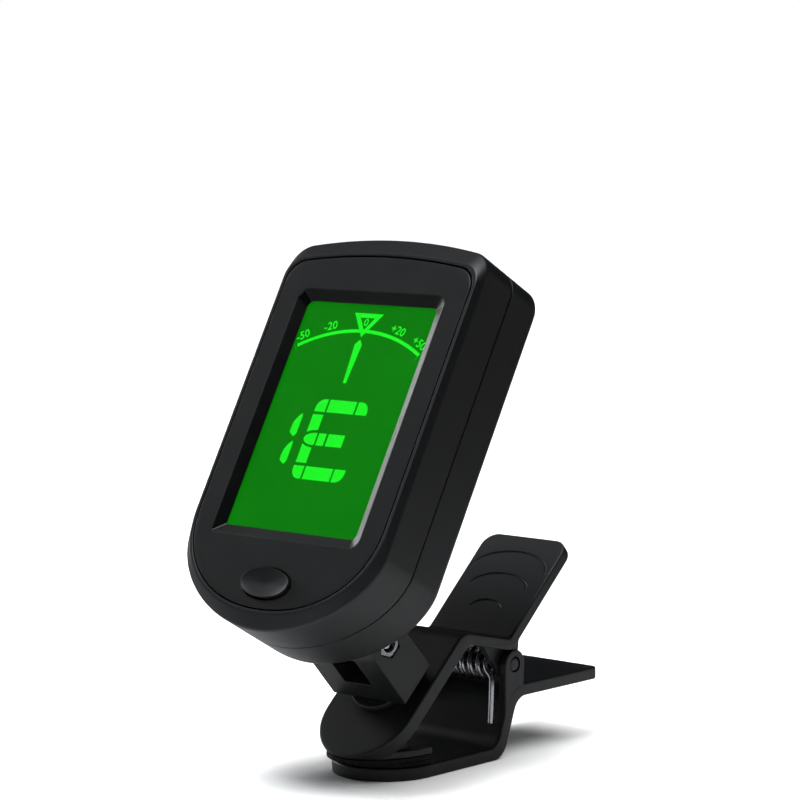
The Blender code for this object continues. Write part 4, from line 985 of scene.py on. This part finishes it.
def build_studio():
    """A white floor and backdrop that only the camera sees, a grey table disc just under the floor that the
    object's undersides reflect, a lamp for those two alone, three soft lamps for the object, and the camera.
    """
    bm = bmesh.new()
    bmesh.ops.create_circle(bm, cap_ends=True, radius=FLOOR_RADIUS, segments=96)
    mesh = bpy.data.meshes.new("floor")
    bm.to_mesh(mesh)
    bm.free()
    floor = bpy.data.objects.new("floor", mesh)
    bpy.context.scene.collection.objects.link(floor)
    white = paper("floor_paper", (0.90, 0.90, 0.90), (0.93, 0.93, 0.93))
    white.value("Specular IOR Level", 0.1)
    mesh.materials.append(white.material)

    world = bpy.data.worlds.new("studio")
    bpy.context.scene.world = world
    world.use_nodes = True
    tree = world.node_tree
    background = tree.nodes["Background"]
    background.inputs["Color"].default_value = (0.03, 0.031, 0.034, 1)
    backdrop = tree.nodes.new("ShaderNodeBackground")
    backdrop.inputs["Color"].default_value = (1, 1, 1, 1)
    choose = tree.nodes.new("ShaderNodeMixShader")
    tree.links.new(tree.nodes.new("ShaderNodeLightPath").outputs["Is Camera Ray"], choose.inputs[0])
    tree.links.new(background.outputs[0], choose.inputs[1])
    tree.links.new(backdrop.outputs[0], choose.inputs[2])
    tree.links.new(choose.outputs[0], tree.nodes["World Output"].inputs[0])

    table = bpy.data.objects.new("table", mesh.copy())
    table.data.materials[0] = paper("table_paper", (0.27, 0.27, 0.275), (0.30, 0.30, 0.30)).material
    bpy.context.scene.collection.objects.link(table)
    table.data.transform(Matrix.Scale(TABLE_RADIUS / FLOOR_RADIUS, 4))
    table.location = (0, 0.01, -0.0002)
    on_floor = bpy.data.collections.new("floor_only")
    for item in (floor, table):
        on_floor.objects.link(item)
    floor.visible_diffuse = floor.visible_glossy = floor.visible_shadow = False
    sun = bpy.data.lights.new("floor_light", 'SUN')
    sun.energy, sun.angle = 3.7, math.radians(70)
    holder = bpy.data.objects.new("floor_light", sun)
    bpy.context.scene.collection.objects.link(holder)
    holder.rotation_euler = Vector((-0.1, -0.1, -1)).to_track_quat('-Z', 'Y').to_euler()
    holder.light_linking.receiver_collection = on_floor
    area_light("overhead", (-0.05, -0.3, 0.85), (0, 0, 0.03), (0.4, 0.4), 6.0, (0.95, 0.98, 1))
    area_light("back_right", (0.62, 0.68, 0.14), (0, 0, 0.04), (0.6, 0.4), 0.18)
    area_light("left", (-0.92, 0.05, 0.28), (0, 0, 0.04), (0.3, 0.5), 2.5, (0.97, 0.98, 1))

    camera = bpy.data.cameras.new("camera")
    camera.lens, camera.sensor_width = 139.34, 36.0
    camera.clip_start, camera.clip_end = 0.01, 50
    holder = bpy.data.objects.new("camera", camera)
    bpy.context.scene.collection.objects.link(holder)
    holder.location = (0.25785, -0.29213, 0.08712)
    holder.rotation_euler = (math.radians(84.215), 0, math.radians(41.17))
    bpy.context.scene.camera = holder
    bpy.context.scene.view_settings.view_transform = 'Standard'


for material, names in NODE_LOOKS.items():
    for node in names:
        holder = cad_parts[node]
        if holder.data.materials:
            for index in range(len(holder.material_slots)):
                holder.material_slots[index].material = material
        else:
            holder.data.materials.append(material)

build_lower_jaw()
build_upper_jaw()
build_pads()
build_pin_and_spring()
build_neck()
build_front_shell()
build_face_plate()
build_display()
build_graphics()
build_button()
build_back()
build_case_screws()
build_studio()

bpy.context.view_layer.update()
